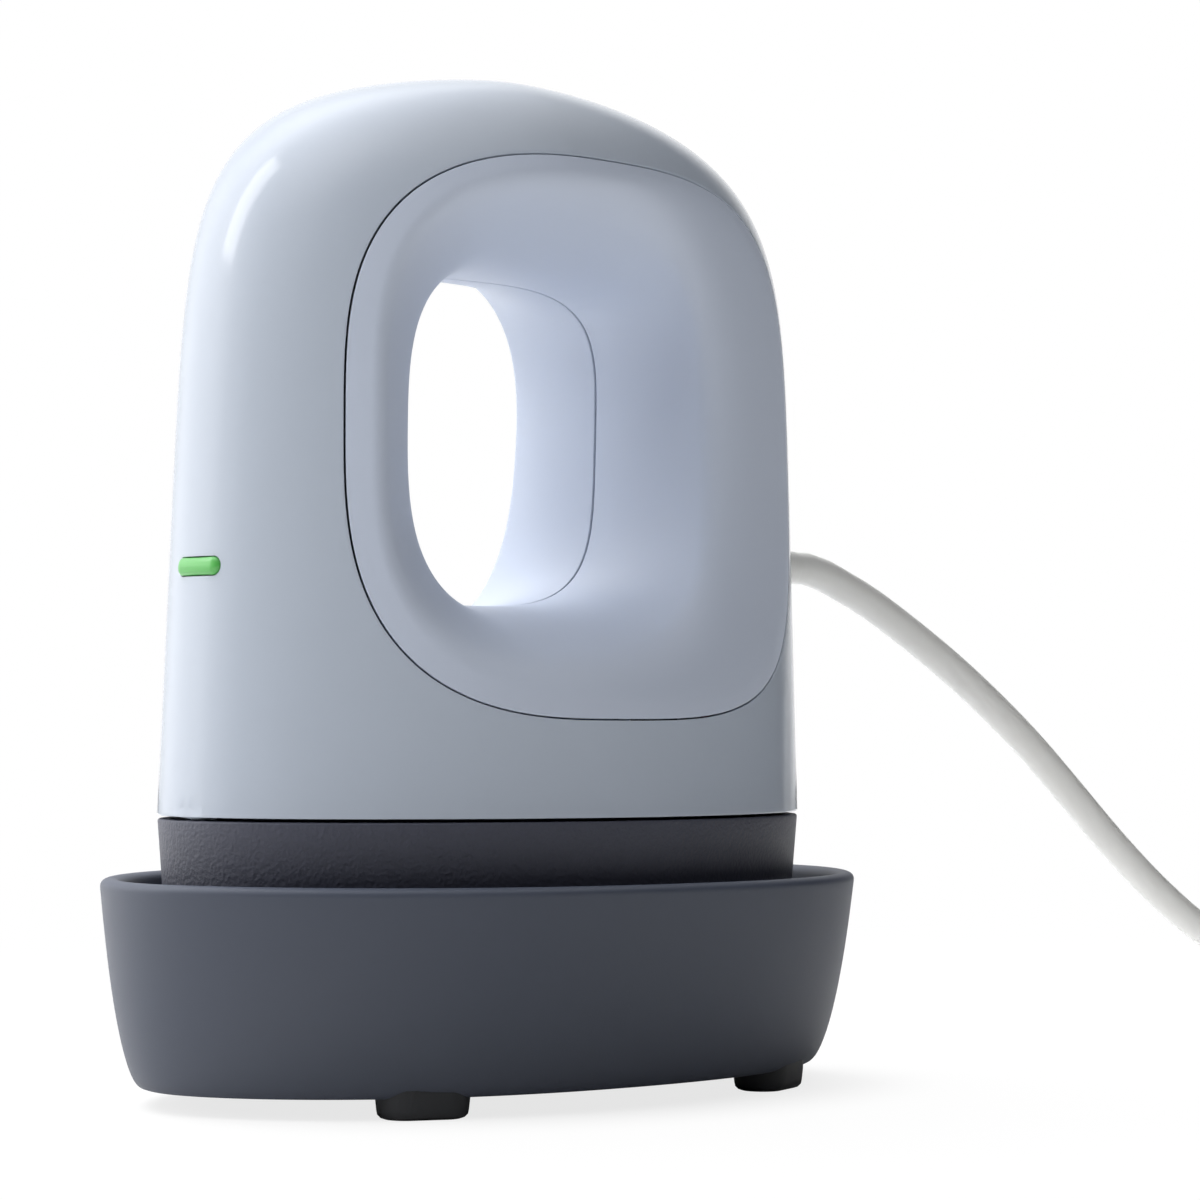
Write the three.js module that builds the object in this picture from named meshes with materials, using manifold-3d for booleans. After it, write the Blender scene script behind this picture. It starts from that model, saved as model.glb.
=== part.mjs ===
// Mini heat press on its insulated tray, with a mains cord and plug.
// Units are millimetres. X runs from the button end (-X) to the cord end (+X), +Z is up,
// and the floor is Z = 0. The press lifts straight up out of its tray.
import * as THREE from "three";
import { mergeVertices } from "three/addons/utils/BufferGeometryUtils.js";
import Module from "manifold-3d";

const wasm = await Module();
wasm.setup();

// Clearances
const seatGap = 0.3; // between two pieces that touch
const holeGap = 0.3; // round a screw or pin in its hole
const panelGap = 0.35; // the dark line round each side panel
const slideGap = 0.2; // round the moving button

// Tray
const footHeight = 2.1;
const footHalfLength = 5.3;
const footHalfWidth = 3.3;
const footX = 27.0;
const footY = 20.8;
const footTurn = 0.38;
const trayRimHeight = 26.1;
const trayRimHalfLength = 51.5;
const trayRimHalfWidth = 36.3;
const trayBaseHalfLength = 47.6;
const trayBaseHalfWidth = 27.7;
const trayEndPower = 2.4;
const traySidePower = 1.65;
const trayDraftShare = 0.47;
const trayTurnPower = 2.7;
const trayWall = 2.6;
const trayFloor = 3.0;
const trayRimRound = 0.9;
const insertThickness = 2.0;
const insertMargin = 1.0;
const restPadRadius = 3.6;
const restPadFlange = 5.0;
const restPadFlangeHeight = 1.2;
const restPadX = 24;
const restPadY = 10;

// Body: sections follow |x/a|^endPower + |y/b|^sidePower = 1
const jointHeight = 33.5;
const jointGap = 0.4;
const bodyRise = 87.2;
const bodyHalfLength = 45;
const bodyHalfWidth = 28.1;
const bodyEndPower = 1.75;
const bodySidePower = 2.06;
const frontDraft = 0.045;
const rearDraft = 0.008;
const sideDraft = 0.047;
const ridgeShift = 0.083;
const crownLengthPower = 8.84;
const crownLengthRound = 2.3;
const crownWidthPower = 10.8;
const crownWidthRound = 3.75;
const shellWall = 3.2;

// Side panels and the handle opening between them: each outline reaches out from its own middle,
// by its own lengths and roundness towards the front and the rear
const panelX = -3.0;
const panelZ = 78.9;
const panelFront = 31.5;
const panelRear = 40.1;
const panelHigh = 31.3;
const panelLow = 34.05;
const panelFrontPower = 3.12;
const panelRearPower = 3.3;
const panelLean = 0.022;
const panelSkin = 1.5;
const panelBackGap = 0.6;
const windowMargin = 0.7;
const crestFront = 28.4;
const crestRear = 25.0;
const crestHigh = 28.8;
const crestLow = 29.0;
const crestFrontPower = 3.7;
const crestRearPower = 2.5;
const throatX = -7.3;
const throatZ = 79.4;
const throatFront = 8.8;
const throatRear = 24.1;
const throatHigh = 18.4;
const throatLow = 21.0;
const throatFrontPower = 2.7;
const throatRearPower = 4.05;
const funnelFrontPower = 1.9;
const funnelRearPower = 2.75;

// Heat end
const plateFaceHeight = 14;
const plateThickness = 7;
const plateGap = 0.4;
const plateEdge = 1.2;
const skirtFloor = 15.4;
const skirtWall = 2.0;
const skirtDraft = 0.08;
const skirtLedge = 4.0;
const skirtLedgeThickness = 2.0;
const spigotRise = 3.0;
const spigotWall = 1.5;
const padThickness = 2.7;
const padMargin = 0.9;
const shieldThickness = 0.8;
const elementRadius = 2.2;
const elementLegY = 11;
const elementBendX = -20;
const elementEndX = 27;
const elementEndRise = 11;
const elementCorner = 4;
const elementSlotGap = 0.4;
const elementSteps = 50;
const terminalGap = 0.8;
const sensorRadius = 1.2;
const sensorLength = 12;
const sensorY = 4;
const sensorLeadRadius = 0.6;
const sensorLeadX = 10;
const sensorLeadBend = 2.2;

// Chassis, boards and fasteners
const chassisFloor = 2.0;
const screwRadius = 1.3;
const screwHeadRadius = 2.6;
const screwHeadHeight = 1.8;
const slotWidth = 0.8;
const slotDepth = 0.8;
const plateScrewBite = 4;
const plateScrewX = 17;
const plateScrewShift = 1;
const plateScrewY = 18;
const shellScrewRunOut = 0.8;
const shellBossRadius = 3.1;
const shellBossX = 36;
const shellBossTop = 45;
const shellBossWebFloor = 38;
const shellBossWebHalf = 2;
const boardX = -3;
const boardHalfLength = 24;
const boardHalfWidth = 15;
const boardThickness = 1.6;
const boardPostRise = 6.6;
const boardPostRadius = 2.2;
const boardPegRadius = 1.0;
const boardPegProud = 0.6;
const boardPostX = 19;
const boardPostY = 11.5;
const towerX = -30;
const towerThickness = 2;
const towerHalfWidth = 7;
const towerTop = 76;
const buttonBoardHalfWidth = 6.5;
const buttonBoardFloor = 48;
const buttonBoardTop = 74;

// Parts on the control board
const moduleX = -13;
const moduleY = 5;
const moduleHalfLength = 6;
const moduleHalfWidth = 6;
const moduleHeight = 9;
const relayX = 4;
const relayY = -7;
const relayHalfLength = 8;
const relayHalfWidth = 5;
const relayHeight = 9;
const connectorX = 14;
const connectorY = 4;
const connectorHalfLength = 3.5;
const connectorHalfWidth = 5;
const connectorHeight = 6;
const capacitorX = -15;
const capacitorY = -8;
const capacitorRadius = 4;
const capacitorHeight = 10;

// Button
const buttonHeight = 62;
const buttonHalfLength = 3.9;
const buttonHalfHeight = 1.05;
const buttonProud = 0.5;
const buttonTravel = 0.6;
const buttonFlange = 0.9;
const buttonFlangeThickness = 1.0;
const buttonStemLength = 1.6;
const buttonStemRadius = 1.2;
const switchGap = 0.2;
const switchHalfSize = 3;
const switchPlungerRadius = 1.5;
const switchPlungerLength = 1;
const ledRadius = 1.4;
const ledFlangeRadius = 1.7;
const ledFlangeThickness = 0.8;
const ledLength = 3.6;
const ledRise = 2.2;

// Cord
const cordDiameter = 4.2;
const cordExitHeight = 64.7;
const reliefInnerRadius = 3.6;
const reliefNeckRadius = 2.8;
const reliefCollarRadius = 3.5;
const reliefTipRadius = 2.3;
const reliefInnerLength = 10.5;
const reliefShoulderGap = 0.85;
const reliefOuterLength = 6.2;
const reliefCollarLength = 1.6;
const reliefInnerChamfer = 0.7;
const reliefTipChamfer = 0.5;
const saddleX = 33;
const saddleHalfLength = 2.5;
const saddleLegY = 6.6;
const saddleLegHalfWidth = 1.7;
const saddleDepth = 5;
const clampThickness = 2.4;
const clampScrewBite = 5;
const clampPilotDepth = 6;
const leadRadius = 0.9;
const leadGap = 0.4;
const leadBend = 6;
const leadStand = 3.4;
const conductorY = 1.6;
const pinSetback = 1;
const pinSpread = 2.8;
const heaterLeadArch = 8;
const heaterLeadSlack = 2.5;
const buttonLeadY = 4;
const buttonLeadOverlap = 4;
const buttonLeadSag = 3;
const buttonLeadLandingX = 4;
const buttonLeadLandingY = 10;
const coilRise = 1.3;
const coilX = 190;
const coilMeanRadius = 24.8;
const coilTurnsPerLayer = 2.25;
const coilLayers = 4;
const coilRadialPitch = 5.0;
const coilLayerPitch = 4.9;
const coilDip = 0.9;
const coilSteps = 24;
const coilTailLength = 54;
const coilTailLevel = 0.3;
const tieWidth = 6;
const tieThickness = 1.0;
const plugHeight = 6.6;
const plugLength = 27;
const plugHalfWidth = 9;
const plugHalfThickness = 6.4;
const plugNeckRadius = 3.2;
const plugNeckLength = 9;
const plugPower = 3.2;
const bladeLength = 17;
const bladeWidth = 6.3;
const bladeThickness = 1.5;
const bladeSpacing = 12.7;
const bladeBite = 5;
const bladeTip = 1.5;

// Counts for the curved surfaces
const ringSides = 40;
const panelSides = 36;

// Heights worked out from the stack of pieces
const trayUnderside = footHeight + seatGap;
const insertFloor = trayUnderside + trayFloor + seatGap;
const insertTop = insertFloor + insertThickness;
const plateTop = plateFaceHeight + plateThickness;
const padFloor = plateTop + seatGap;
const shieldFloor = padFloor + padThickness + seatGap;
const ledgeFloor = shieldFloor + shieldThickness + seatGap;
const ledgeTop = ledgeFloor + skirtLedgeThickness;
const chassisUnderside = ledgeTop + seatGap;
const chassisTop = chassisUnderside + chassisFloor;
const skirtTop = jointHeight - jointGap;
const boardFloor = chassisTop + boardPostRise + seatGap;
const boardTop = boardFloor + boardThickness;
const elementZ = plateTop - elementRadius - seatGap;
const cordRadius = cordDiameter / 2;

// Colours and finishes of the pieces
const finishes = {
  shell: [0xb9c3d1, 0.18, 0],
  panel: [0xa6afc3, 0.6, 0],
  skirt: [0x3d3e45, 0.75, 0],
  tray: [0x41454f, 0.6, 0],
  foot: [0x1c1d20, 0.85, 0],
  aluminium: [0xb8babd, 0.4, 1],
  steel: [0x9a9da1, 0.35, 1],
  fibre: [0xe8e4da, 0.95, 0],
  plastic: [0x2b2d31, 0.6, 0],
  board: [0x1f5a3a, 0.5, 0],
  button: [0x6fc96c, 0.2, 0],
  cord: [0xd5d5d3, 0.45, 0],
  brass: [0xc8a862, 0.35, 1],
  silicone: [0x6c7078, 0.8, 0],
  red: [0xb23a34, 0.5, 0],
  blue: [0x3a5fa8, 0.5, 0],
};

function mesh(name, geometry, finish) {
  const [color, roughness, metalness] = finishes[finish];
  const material = new THREE.MeshStandardMaterial({ color, roughness, metalness });
  const made = new THREE.Mesh(geometry, material);
  made.name = name;
  return made;
}

// Booleans
function solid(geometry) {
  const plain = geometry.clone();
  plain.deleteAttribute("normal");
  plain.deleteAttribute("uv");
  const merged = mergeVertices(plain, 1e-4);
  return new wasm.Manifold(
    new wasm.Mesh({
      numProp: 3,
      vertProperties: merged.attributes.position.array,
      triVerts: new Uint32Array(merged.index.array),
    }),
  );
}

function geometryOf(manifold) {
  const made = manifold.getMesh();
  const geometry = new THREE.BufferGeometry();
  geometry.setAttribute("position", new THREE.BufferAttribute(made.vertProperties, 3));
  geometry.setIndex(new THREE.BufferAttribute(made.triVerts, 1));
  geometry.computeVertexNormals();
  return geometry;
}

function cut(base, ...tools) {
  return tools.reduce((left, tool) => left.subtract(tool), base);
}

function join(base, ...others) {
  return others.reduce((left, other) => left.add(other), base);
}

// Simple solids
function box(low, high) {
  const size = high.map((value, axis) => value - low[axis]);
  const geometry = new THREE.BoxGeometry(...size);
  geometry.translate(...low.map((value, axis) => value + size[axis] / 2));
  return geometry;
}

function post(x, y, floor, top, radius, sides = 12) {
  const geometry = new THREE.CylinderGeometry(radius, radius, top - floor, sides);
  geometry.rotateX(Math.PI / 2);
  geometry.translate(x, y, (floor + top) / 2);
  return geometry;
}

function rod(x0, x1, y, z, radius, sides = 16) {
  const geometry = new THREE.CylinderGeometry(radius, radius, x1 - x0, sides);
  geometry.rotateZ(Math.PI / 2);
  geometry.translate((x0 + x1) / 2, y, z);
  return geometry;
}

function turned(profile, sides = 12) {
  const points = profile.map(([radius, height]) => new THREE.Vector2(radius, height));
  const geometry = new THREE.LatheGeometry(points, sides);
  geometry.rotateX(Math.PI / 2);
  return geometry;
}

function pipe(points, radius, steps, sides = 6) {
  const path = new THREE.CatmullRomCurve3(points.map((p) => new THREE.Vector3(...p)), false, "centripetal");
  const section = new THREE.Shape();
  for (let i = 0; i < sides; i++) {
    const angle = (i / sides) * 2 * Math.PI;
    const at = [radius * Math.cos(angle), radius * Math.sin(angle)];
    if (i === 0) section.moveTo(...at);
    else section.lineTo(...at);
  }
  section.closePath();
  return new THREE.ExtrudeGeometry(section, { steps, extrudePath: path });
}

// A closed solid through rings of points, with a flat fan at each end
function loft(rings) {
  const count = rings[0].length;
  const positions = rings.flat(2);
  const index = [];
  for (let k = 0; k + 1 < rings.length; k++) {
    for (let i = 0; i < count; i++) {
      const j = (i + 1) % count;
      const low = k * count;
      const high = low + count;
      index.push(low + i, low + j, high + j);
      index.push(low + i, high + j, high + i);
    }
  }
  const ends = [rings[0], rings[rings.length - 1]];
  ends.forEach((end, which) => {
    const middle = [0, 1, 2].map((axis) => end.reduce((sum, p) => sum + p[axis], 0) / count);
    const centre = positions.length / 3;
    positions.push(...middle);
    const start = which === 0 ? 0 : (rings.length - 1) * count;
    for (let i = 0; i < count; i++) {
      const j = (i + 1) % count;
      if (which === 0) index.push(centre, start + j, start + i);
      else index.push(centre, start + i, start + j);
    }
  });
  return indexed(positions, index);
}

// A closed ring-shaped solid: the last ring joins back to the first
function ringLoft(rings) {
  const count = rings[0].length;
  const index = [];
  rings.forEach((ring, k) => {
    const low = k * count;
    const high = ((k + 1) % rings.length) * count;
    for (let i = 0; i < count; i++) {
      const j = (i + 1) % count;
      index.push(low + i, low + j, high + j);
      index.push(low + i, high + j, high + i);
    }
  });
  return indexed(rings.flat(2), index);
}

function indexed(positions, index) {
  const geometry = new THREE.BufferGeometry();
  geometry.setAttribute("position", new THREE.Float32BufferAttribute(positions, 3));
  geometry.setIndex(index);
  geometry.computeVertexNormals();
  return geometry;
}

function superPoint(angle, halfA, halfB, powerA, powerB) {
  const cosine = Math.cos(angle);
  const sine = Math.sin(angle);
  const a = Math.sign(cosine) * Math.abs(cosine) ** (2 / powerA) * halfA;
  const b = Math.sign(sine) * Math.abs(sine) ** (2 / powerB) * halfB;
  return [a, b];
}

function angles(count) {
  return Array.from({ length: count }, (_, i) => (i / count) * 2 * Math.PI);
}

// Tray sections: drop runs from 0 at the rim to 1 at the underside
function traySize(drop, inset) {
  const draft = trayDraftShare * drop;
  const turn = (1 - trayDraftShare) * (1 - Math.sqrt(1 - drop ** trayTurnPower));
  const share = draft + turn;
  const length = trayRimHalfLength - (trayRimHalfLength - trayBaseHalfLength) * share;
  const width = trayRimHalfWidth - (trayRimHalfWidth - trayBaseHalfWidth) * share;
  return [length - inset, width - inset];
}

function trayRing(height, inset) {
  const drop = (trayRimHeight - height) / (trayRimHeight - trayUnderside);
  const [length, width] = traySize(Math.min(Math.max(drop, 0), 1), inset);
  return angles(ringSides).map((angle) => [
    ...superPoint(angle, length, width, trayEndPower, traySidePower),
    height,
  ]);
}

// Body sections, from the joint up to the crown
function bodySize(height, inset) {
  const rise = height - jointHeight;
  const share = Math.min(Math.max(rise / (bodyRise - inset), 0), 1);
  const lengthShare = (1 - share ** crownLengthPower) ** (1 / crownLengthRound);
  const widthShare = (1 - share ** crownWidthPower) ** (1 / crownWidthRound);
  const front = bodyHalfLength - (frontDraft + ridgeShift) * rise - inset;
  const rear = bodyHalfLength - (rearDraft - ridgeShift) * rise - inset;
  const side = bodyHalfWidth - sideDraft * rise - inset;
  return {
    ridge: -ridgeShift * rise,
    front: front * lengthShare,
    rear: rear * lengthShare,
    side: side * widthShare,
  };
}

function bodyRing(height, inset) {
  const size = bodySize(height, inset);
  return angles(ringSides).map((angle) => {
    const reach = Math.cos(angle) < 0 ? size.front : size.rear;
    const [x, y] = superPoint(angle, reach, size.side, bodyEndPower, bodySidePower);
    return [x + size.ridge, y, height];
  });
}

function bodySide(x, height, inset = 0) {
  const size = bodySize(height, inset);
  const reach = x < size.ridge ? size.front : size.rear;
  const along = Math.min(Math.abs(x - size.ridge) / reach, 1);
  return size.side * (1 - along ** bodyEndPower) ** (1 / bodySidePower);
}

function bodySolid(inset, shares, floor) {
  const top = jointHeight + bodyRise - inset;
  const rings = shares.map((share) => bodyRing(floor + (top - floor) * share, inset));
  return solid(loft(rings));
}

// Skirt and plate sections, which carry on down from the joint
function lowerRing(height, inset) {
  const draft = skirtDraft * (jointHeight - height);
  const length = bodyHalfLength - draft - inset;
  const width = bodyHalfWidth - draft - inset;
  return angles(ringSides).map((angle) => [
    ...superPoint(angle, length, width, bodyEndPower, bodySidePower),
    height,
  ]);
}

function plateRing(height, inset) {
  const draft = skirtDraft * (jointHeight - skirtFloor);
  const inside = draft + skirtWall + plateGap + inset;
  const length = bodyHalfLength - inside;
  const width = bodyHalfWidth - inside;
  return angles(ringSides).map((angle) => [
    ...superPoint(angle, length, width, bodyEndPower, bodySidePower),
    height,
  ]);
}

// The panel outlines, as points in the XZ plane
function outlinePoint(outline, angle) {
  const frontHalf = Math.cos(angle) < 0;
  const length = frontHalf ? outline.front : outline.rear;
  const power = frontHalf ? outline.frontPower : outline.rearPower;
  const height = Math.sin(angle) < 0 ? outline.low : outline.high;
  const [x, z] = superPoint(angle, length, height, power, power);
  return [x + panelLean * z + outline.x, z + outline.z];
}

const border = {
  x: panelX,
  z: panelZ,
  front: panelFront,
  rear: panelRear,
  high: panelHigh,
  low: panelLow,
  frontPower: panelFrontPower,
  rearPower: panelRearPower,
};
const crest = {
  x: panelX,
  z: panelZ,
  front: crestFront,
  rear: crestRear,
  high: crestHigh,
  low: crestLow,
  frontPower: crestFrontPower,
  rearPower: crestRearPower,
};
const throat = {
  x: throatX,
  z: throatZ,
  front: throatFront,
  rear: throatRear,
  high: throatHigh,
  low: throatLow,
  frontPower: throatFrontPower,
  rearPower: throatRearPower,
};

function grown(outline, margin) {
  return {
    ...outline,
    front: outline.front + margin,
    rear: outline.rear + margin,
    high: outline.high + margin,
    low: outline.low + margin,
  };
}

function sideways(outline) {
  const reach = bodyHalfWidth + 5;
  const rings = [reach, -reach].map((y) =>
    angles(panelSides).map((angle) => {
      const [x, z] = outlinePoint(outline, angle);
      return [x, y, z];
    }),
  );
  return solid(loft(rings));
}

// The near panel's outer face: s runs from 0 at the border, over the crest at crestShare, to 1 at the throat
const crestShare = 0.3;

function panelPoint(s, angle) {
  const [borderX, borderZ] = outlinePoint(border, angle);
  const [crestAtX, crestAtZ] = outlinePoint(crest, angle);
  if (s <= crestShare) {
    const w = s / crestShare;
    const x = borderX + (crestAtX - borderX) * w;
    const z = borderZ + (crestAtZ - borderZ) * w;
    return new THREE.Vector3(x, -bodySide(x, z), z);
  }
  const w = (1 - s) / (1 - crestShare);
  const [throatAtX, throatAtZ] = outlinePoint(throat, angle);
  const frontShare = (1 - Math.cos(angle)) / 2;
  const spread = w ** (funnelRearPower + (funnelFrontPower - funnelRearPower) * frontShare);
  const x = throatAtX + (crestAtX - throatAtX) * spread;
  const z = throatAtZ + (crestAtZ - throatAtZ) * spread;
  const crestY = -bodySide(crestAtX, crestAtZ);
  const seamY = -seatGap / 2;
  return new THREE.Vector3(x, seamY + (crestY - seamY) * w, z);
}

function panelNormal(s, angle) {
  const step = 0.01;
  const before = panelPoint(Math.max(s - step, 0), angle);
  const after = panelPoint(Math.min(s + step, 1), angle);
  const left = panelPoint(s, angle - step);
  const right = panelPoint(s, angle + step);
  return right.sub(left).cross(after.sub(before)).normalize();
}

function sidePanel() {
  const frontShares = [0, 0.15, crestShare, 0.35, 0.41, 0.49, 0.6, 0.78, 1];
  const backShares = [0, 0.15, crestShare, 0.38, 0.49, 0.7, 1];
  const front = frontShares.map((s) => angles(panelSides).map((angle) => panelPoint(s, angle)));
  const back = backShares.map((s) =>
    angles(panelSides).map((angle) => {
      const normal = panelNormal(s, angle);
      if (s === 1) normal.setY(0);
      return panelPoint(s, angle).addScaledVector(normal.normalize(), -panelSkin);
    }),
  );
  const rings = [...front, ...back.reverse()];
  return ringLoft(rings.map((ring) => ring.map((p) => p.toArray())));
}

function mirrored(geometry) {
  const made = geometry.clone();
  made.scale(1, -1, 1);
  const order = made.index.array;
  for (let i = 0; i < order.length; i += 3) {
    [order[i + 1], order[i + 2]] = [order[i + 2], order[i + 1]];
  }
  made.computeVertexNormals();
  return made;
}

// Base: tray, insert, pads and feet
const footPlaces = [
  ["foot_front_near", -footX, -footY, -footTurn],
  ["foot_front_far", -footX, footY, footTurn],
  ["foot_rear_near", footX, -footY, footTurn],
  ["foot_rear_far", footX, footY, -footTurn],
];

function tray() {
  const outer = [1, 0.99, 0.95, 0.88, 0.78, 0.6, 0.35].map((drop) =>
    trayRing(trayRimHeight - drop * (trayRimHeight - trayUnderside), 0),
  );
  const rim = [
    trayRing(trayRimHeight - trayRimRound, 0),
    trayRing(trayRimHeight, trayRimRound),
    trayRing(trayRimHeight, trayWall - trayRimRound),
    trayRing(trayRimHeight - trayRimRound, trayWall),
  ];
  const inside = trayUnderside + trayFloor;
  const inner = [0.45, 0.2, 0.06, 0].map((share) =>
    trayRing(inside + share * (trayRimHeight - inside), trayWall),
  );
  return loft([...outer, ...rim, ...inner]);
}

function foot() {
  const run = footHalfLength - footHalfWidth;
  const shape = new THREE.Shape();
  shape.absarc(run, 0, footHalfWidth, -Math.PI / 2, Math.PI / 2, false);
  shape.absarc(-run, 0, footHalfWidth, Math.PI / 2, (3 * Math.PI) / 2, false);
  return new THREE.ExtrudeGeometry(shape, {
    depth: footHeight,
    bevelEnabled: false,
    curveSegments: 6,
  });
}

function insert() {
  const inset = trayWall + seatGap + insertMargin;
  return loft([trayRing(insertFloor, inset), trayRing(insertTop, inset)]);
}

function restPad() {
  const floor = insertTop + seatGap;
  const top = plateFaceHeight - seatGap;
  return turned([
    [0, floor],
    [restPadFlange, floor],
    [restPadFlange, floor + restPadFlangeHeight],
    [restPadRadius, floor + restPadFlangeHeight],
    [restPadRadius, top],
    [0, top],
  ]);
}

// Places shared by the stack of pieces above the heat plate
const plateScrewPlaces = [
  [plateScrewShift - plateScrewX, 0],
  [plateScrewShift + plateScrewX, 0],
  [0, -plateScrewY],
  [0, plateScrewY],
];
const terminalPlaces = [
  [elementEndX, -elementLegY],
  [elementEndX, elementLegY],
];

function stackHoles(floor, top) {
  const screws = plateScrewPlaces.map(([x, y]) => post(x, y, floor, top, screwRadius + holeGap, 10));
  const ends = terminalPlaces.map(([x, y]) => post(x, y, floor, top, elementRadius + terminalGap));
  const lead = post(sensorLeadX, -sensorY, floor, top, sensorLeadRadius + holeGap, 8);
  return [...screws, ...ends, lead].map(solid);
}

// A quarter or half turn is drawn as cubic curves whose handles are this share of the radius
const arcHandle = 0.5523;

function quarterTurn(start, corner, end) {
  return new THREE.CubicBezierCurve3(
    start,
    start.clone().lerp(corner, arcHandle),
    end.clone().lerp(corner, arcHandle),
    end,
  );
}

function elementPath() {
  const path = new THREE.CurvePath();
  const at = (x, y, z) => new THREE.Vector3(x, y, z);
  const leg = (y) => [
    at(elementEndX, y, elementZ + elementEndRise),
    at(elementEndX, y, elementZ + elementCorner),
    at(elementEndX, y, elementZ),
    at(elementEndX - elementCorner, y, elementZ),
    at(elementBendX, y, elementZ),
  ];
  const [nearTop, nearBend, nearCorner, nearLevel, nearEnd] = leg(-elementLegY);
  const [farTop, farBend, farCorner, farLevel, farEnd] = leg(elementLegY);
  const noseX = elementBendX - elementLegY;
  const nose = at(noseX, 0, elementZ);
  path.add(new THREE.LineCurve3(nearTop, nearBend));
  path.add(quarterTurn(nearBend, nearCorner, nearLevel));
  path.add(new THREE.LineCurve3(nearLevel, nearEnd));
  path.add(quarterTurn(nearEnd, at(noseX, -elementLegY, elementZ), nose));
  path.add(quarterTurn(nose, at(noseX, elementLegY, elementZ), farEnd));
  path.add(new THREE.LineCurve3(farEnd, farLevel));
  path.add(quarterTurn(farLevel, farCorner, farBend));
  path.add(new THREE.LineCurve3(farBend, farTop));
  return path;
}

function heaterElement() {
  const section = new THREE.Shape();
  section.absarc(0, 0, elementRadius, 0, 2 * Math.PI, false);
  return new THREE.ExtrudeGeometry(section, {
    steps: elementSteps,
    curveSegments: 4,
    extrudePath: elementPath(),
  });
}

function elementSlot(floor, top) {
  const half = elementRadius + elementSlotGap;
  const outer = elementLegY + half;
  const inner = elementLegY - half;
  const end = elementEndX + half;
  const shape = new THREE.Shape();
  shape.moveTo(end, -outer);
  shape.lineTo(elementBendX, -outer);
  shape.absarc(elementBendX, 0, outer, -Math.PI / 2, Math.PI / 2, true);
  shape.lineTo(end, outer);
  shape.lineTo(end, inner);
  shape.lineTo(elementBendX, inner);
  shape.absarc(elementBendX, 0, inner, Math.PI / 2, -Math.PI / 2, false);
  shape.lineTo(end, -inner);
  shape.closePath();
  const options = { depth: top - floor, bevelEnabled: false, curveSegments: 14 };
  const geometry = new THREE.ExtrudeGeometry(shape, options);
  geometry.translate(0, 0, floor);
  return geometry;
}

const sensorZ = plateTop - sensorRadius - seatGap;

function heatPlate() {
  const body = loft([
    plateRing(plateFaceHeight, plateEdge),
    plateRing(plateFaceHeight + plateEdge * 0.3, plateEdge * 0.3),
    plateRing(plateFaceHeight + plateEdge, 0),
    plateRing(plateTop, 0),
  ]);
  const above = plateTop + 1;
  const slotFloor = elementZ - elementRadius - seatGap;
  const sensorSlots = [-sensorY, sensorY].map((y) => {
    const half = sensorRadius + holeGap;
    const end = y < 0 ? sensorLeadX + half : sensorLength / 2 + half;
    return solid(
      box([-sensorLength / 2 - half, y - half, sensorZ - half], [end, y + half, above]),
    );
  });
  const screwHoles = plateScrewPlaces.map(([x, y]) =>
    solid(post(x, y, plateTop - plateScrewBite - seatGap, above, screwRadius + holeGap)),
  );
  return geometryOf(
    cut(solid(body), solid(elementSlot(slotFloor, above)), ...sensorSlots, ...screwHoles),
  );
}

function flatSheet(floor, top) {
  const sheet = loft([plateRing(floor, padMargin), plateRing(top, padMargin)]);
  return geometryOf(cut(solid(sheet), ...stackHoles(floor - 1, top + 1)));
}

function skirt() {
  const spigotInset = shellWall + seatGap;
  const outer = solid(loft([lowerRing(skirtFloor, 0), lowerRing(skirtTop, 0)]));
  const spigot = solid(
    loft([lowerRing(skirtTop - 1, spigotInset), bodyRing(jointHeight + spigotRise, spigotInset)]),
  );
  const below = solid(
    loft([lowerRing(skirtFloor - 1, skirtWall), lowerRing(ledgeFloor, skirtWall)]),
  );
  const middle = solid(
    loft([
      lowerRing(ledgeFloor - 1, skirtWall + skirtLedge),
      lowerRing(ledgeTop + 1, skirtWall + skirtLedge),
    ]),
  );
  const above = solid(
    loft([
      lowerRing(ledgeTop, spigotInset + spigotWall),
      bodyRing(jointHeight + spigotRise + 1, spigotInset + spigotWall),
    ]),
  );
  return geometryOf(cut(join(outer, spigot), below, middle, above));
}

// Chassis, with its board posts, front tower and rear cord saddle
function mirroredPair(low, high) {
  return [
    box(low, high),
    box([low[0], -high[1], low[2]], [high[0], -low[1], high[2]]),
  ];
}

const saddleTop = cordExitHeight - seatGap / 2;
const clampTop = cordExitHeight + reliefInnerRadius + seatGap + clampThickness;

function boardPosts(radius, top) {
  const places = [-1, 1].flatMap((endSide) => [-1, 1].map((side) => [endSide, side]));
  return places.map(([endSide, side]) =>
    post(boardX + endSide * boardPostX, side * boardPostY, chassisTop - 1, top, radius, 12),
  );
}

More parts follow.
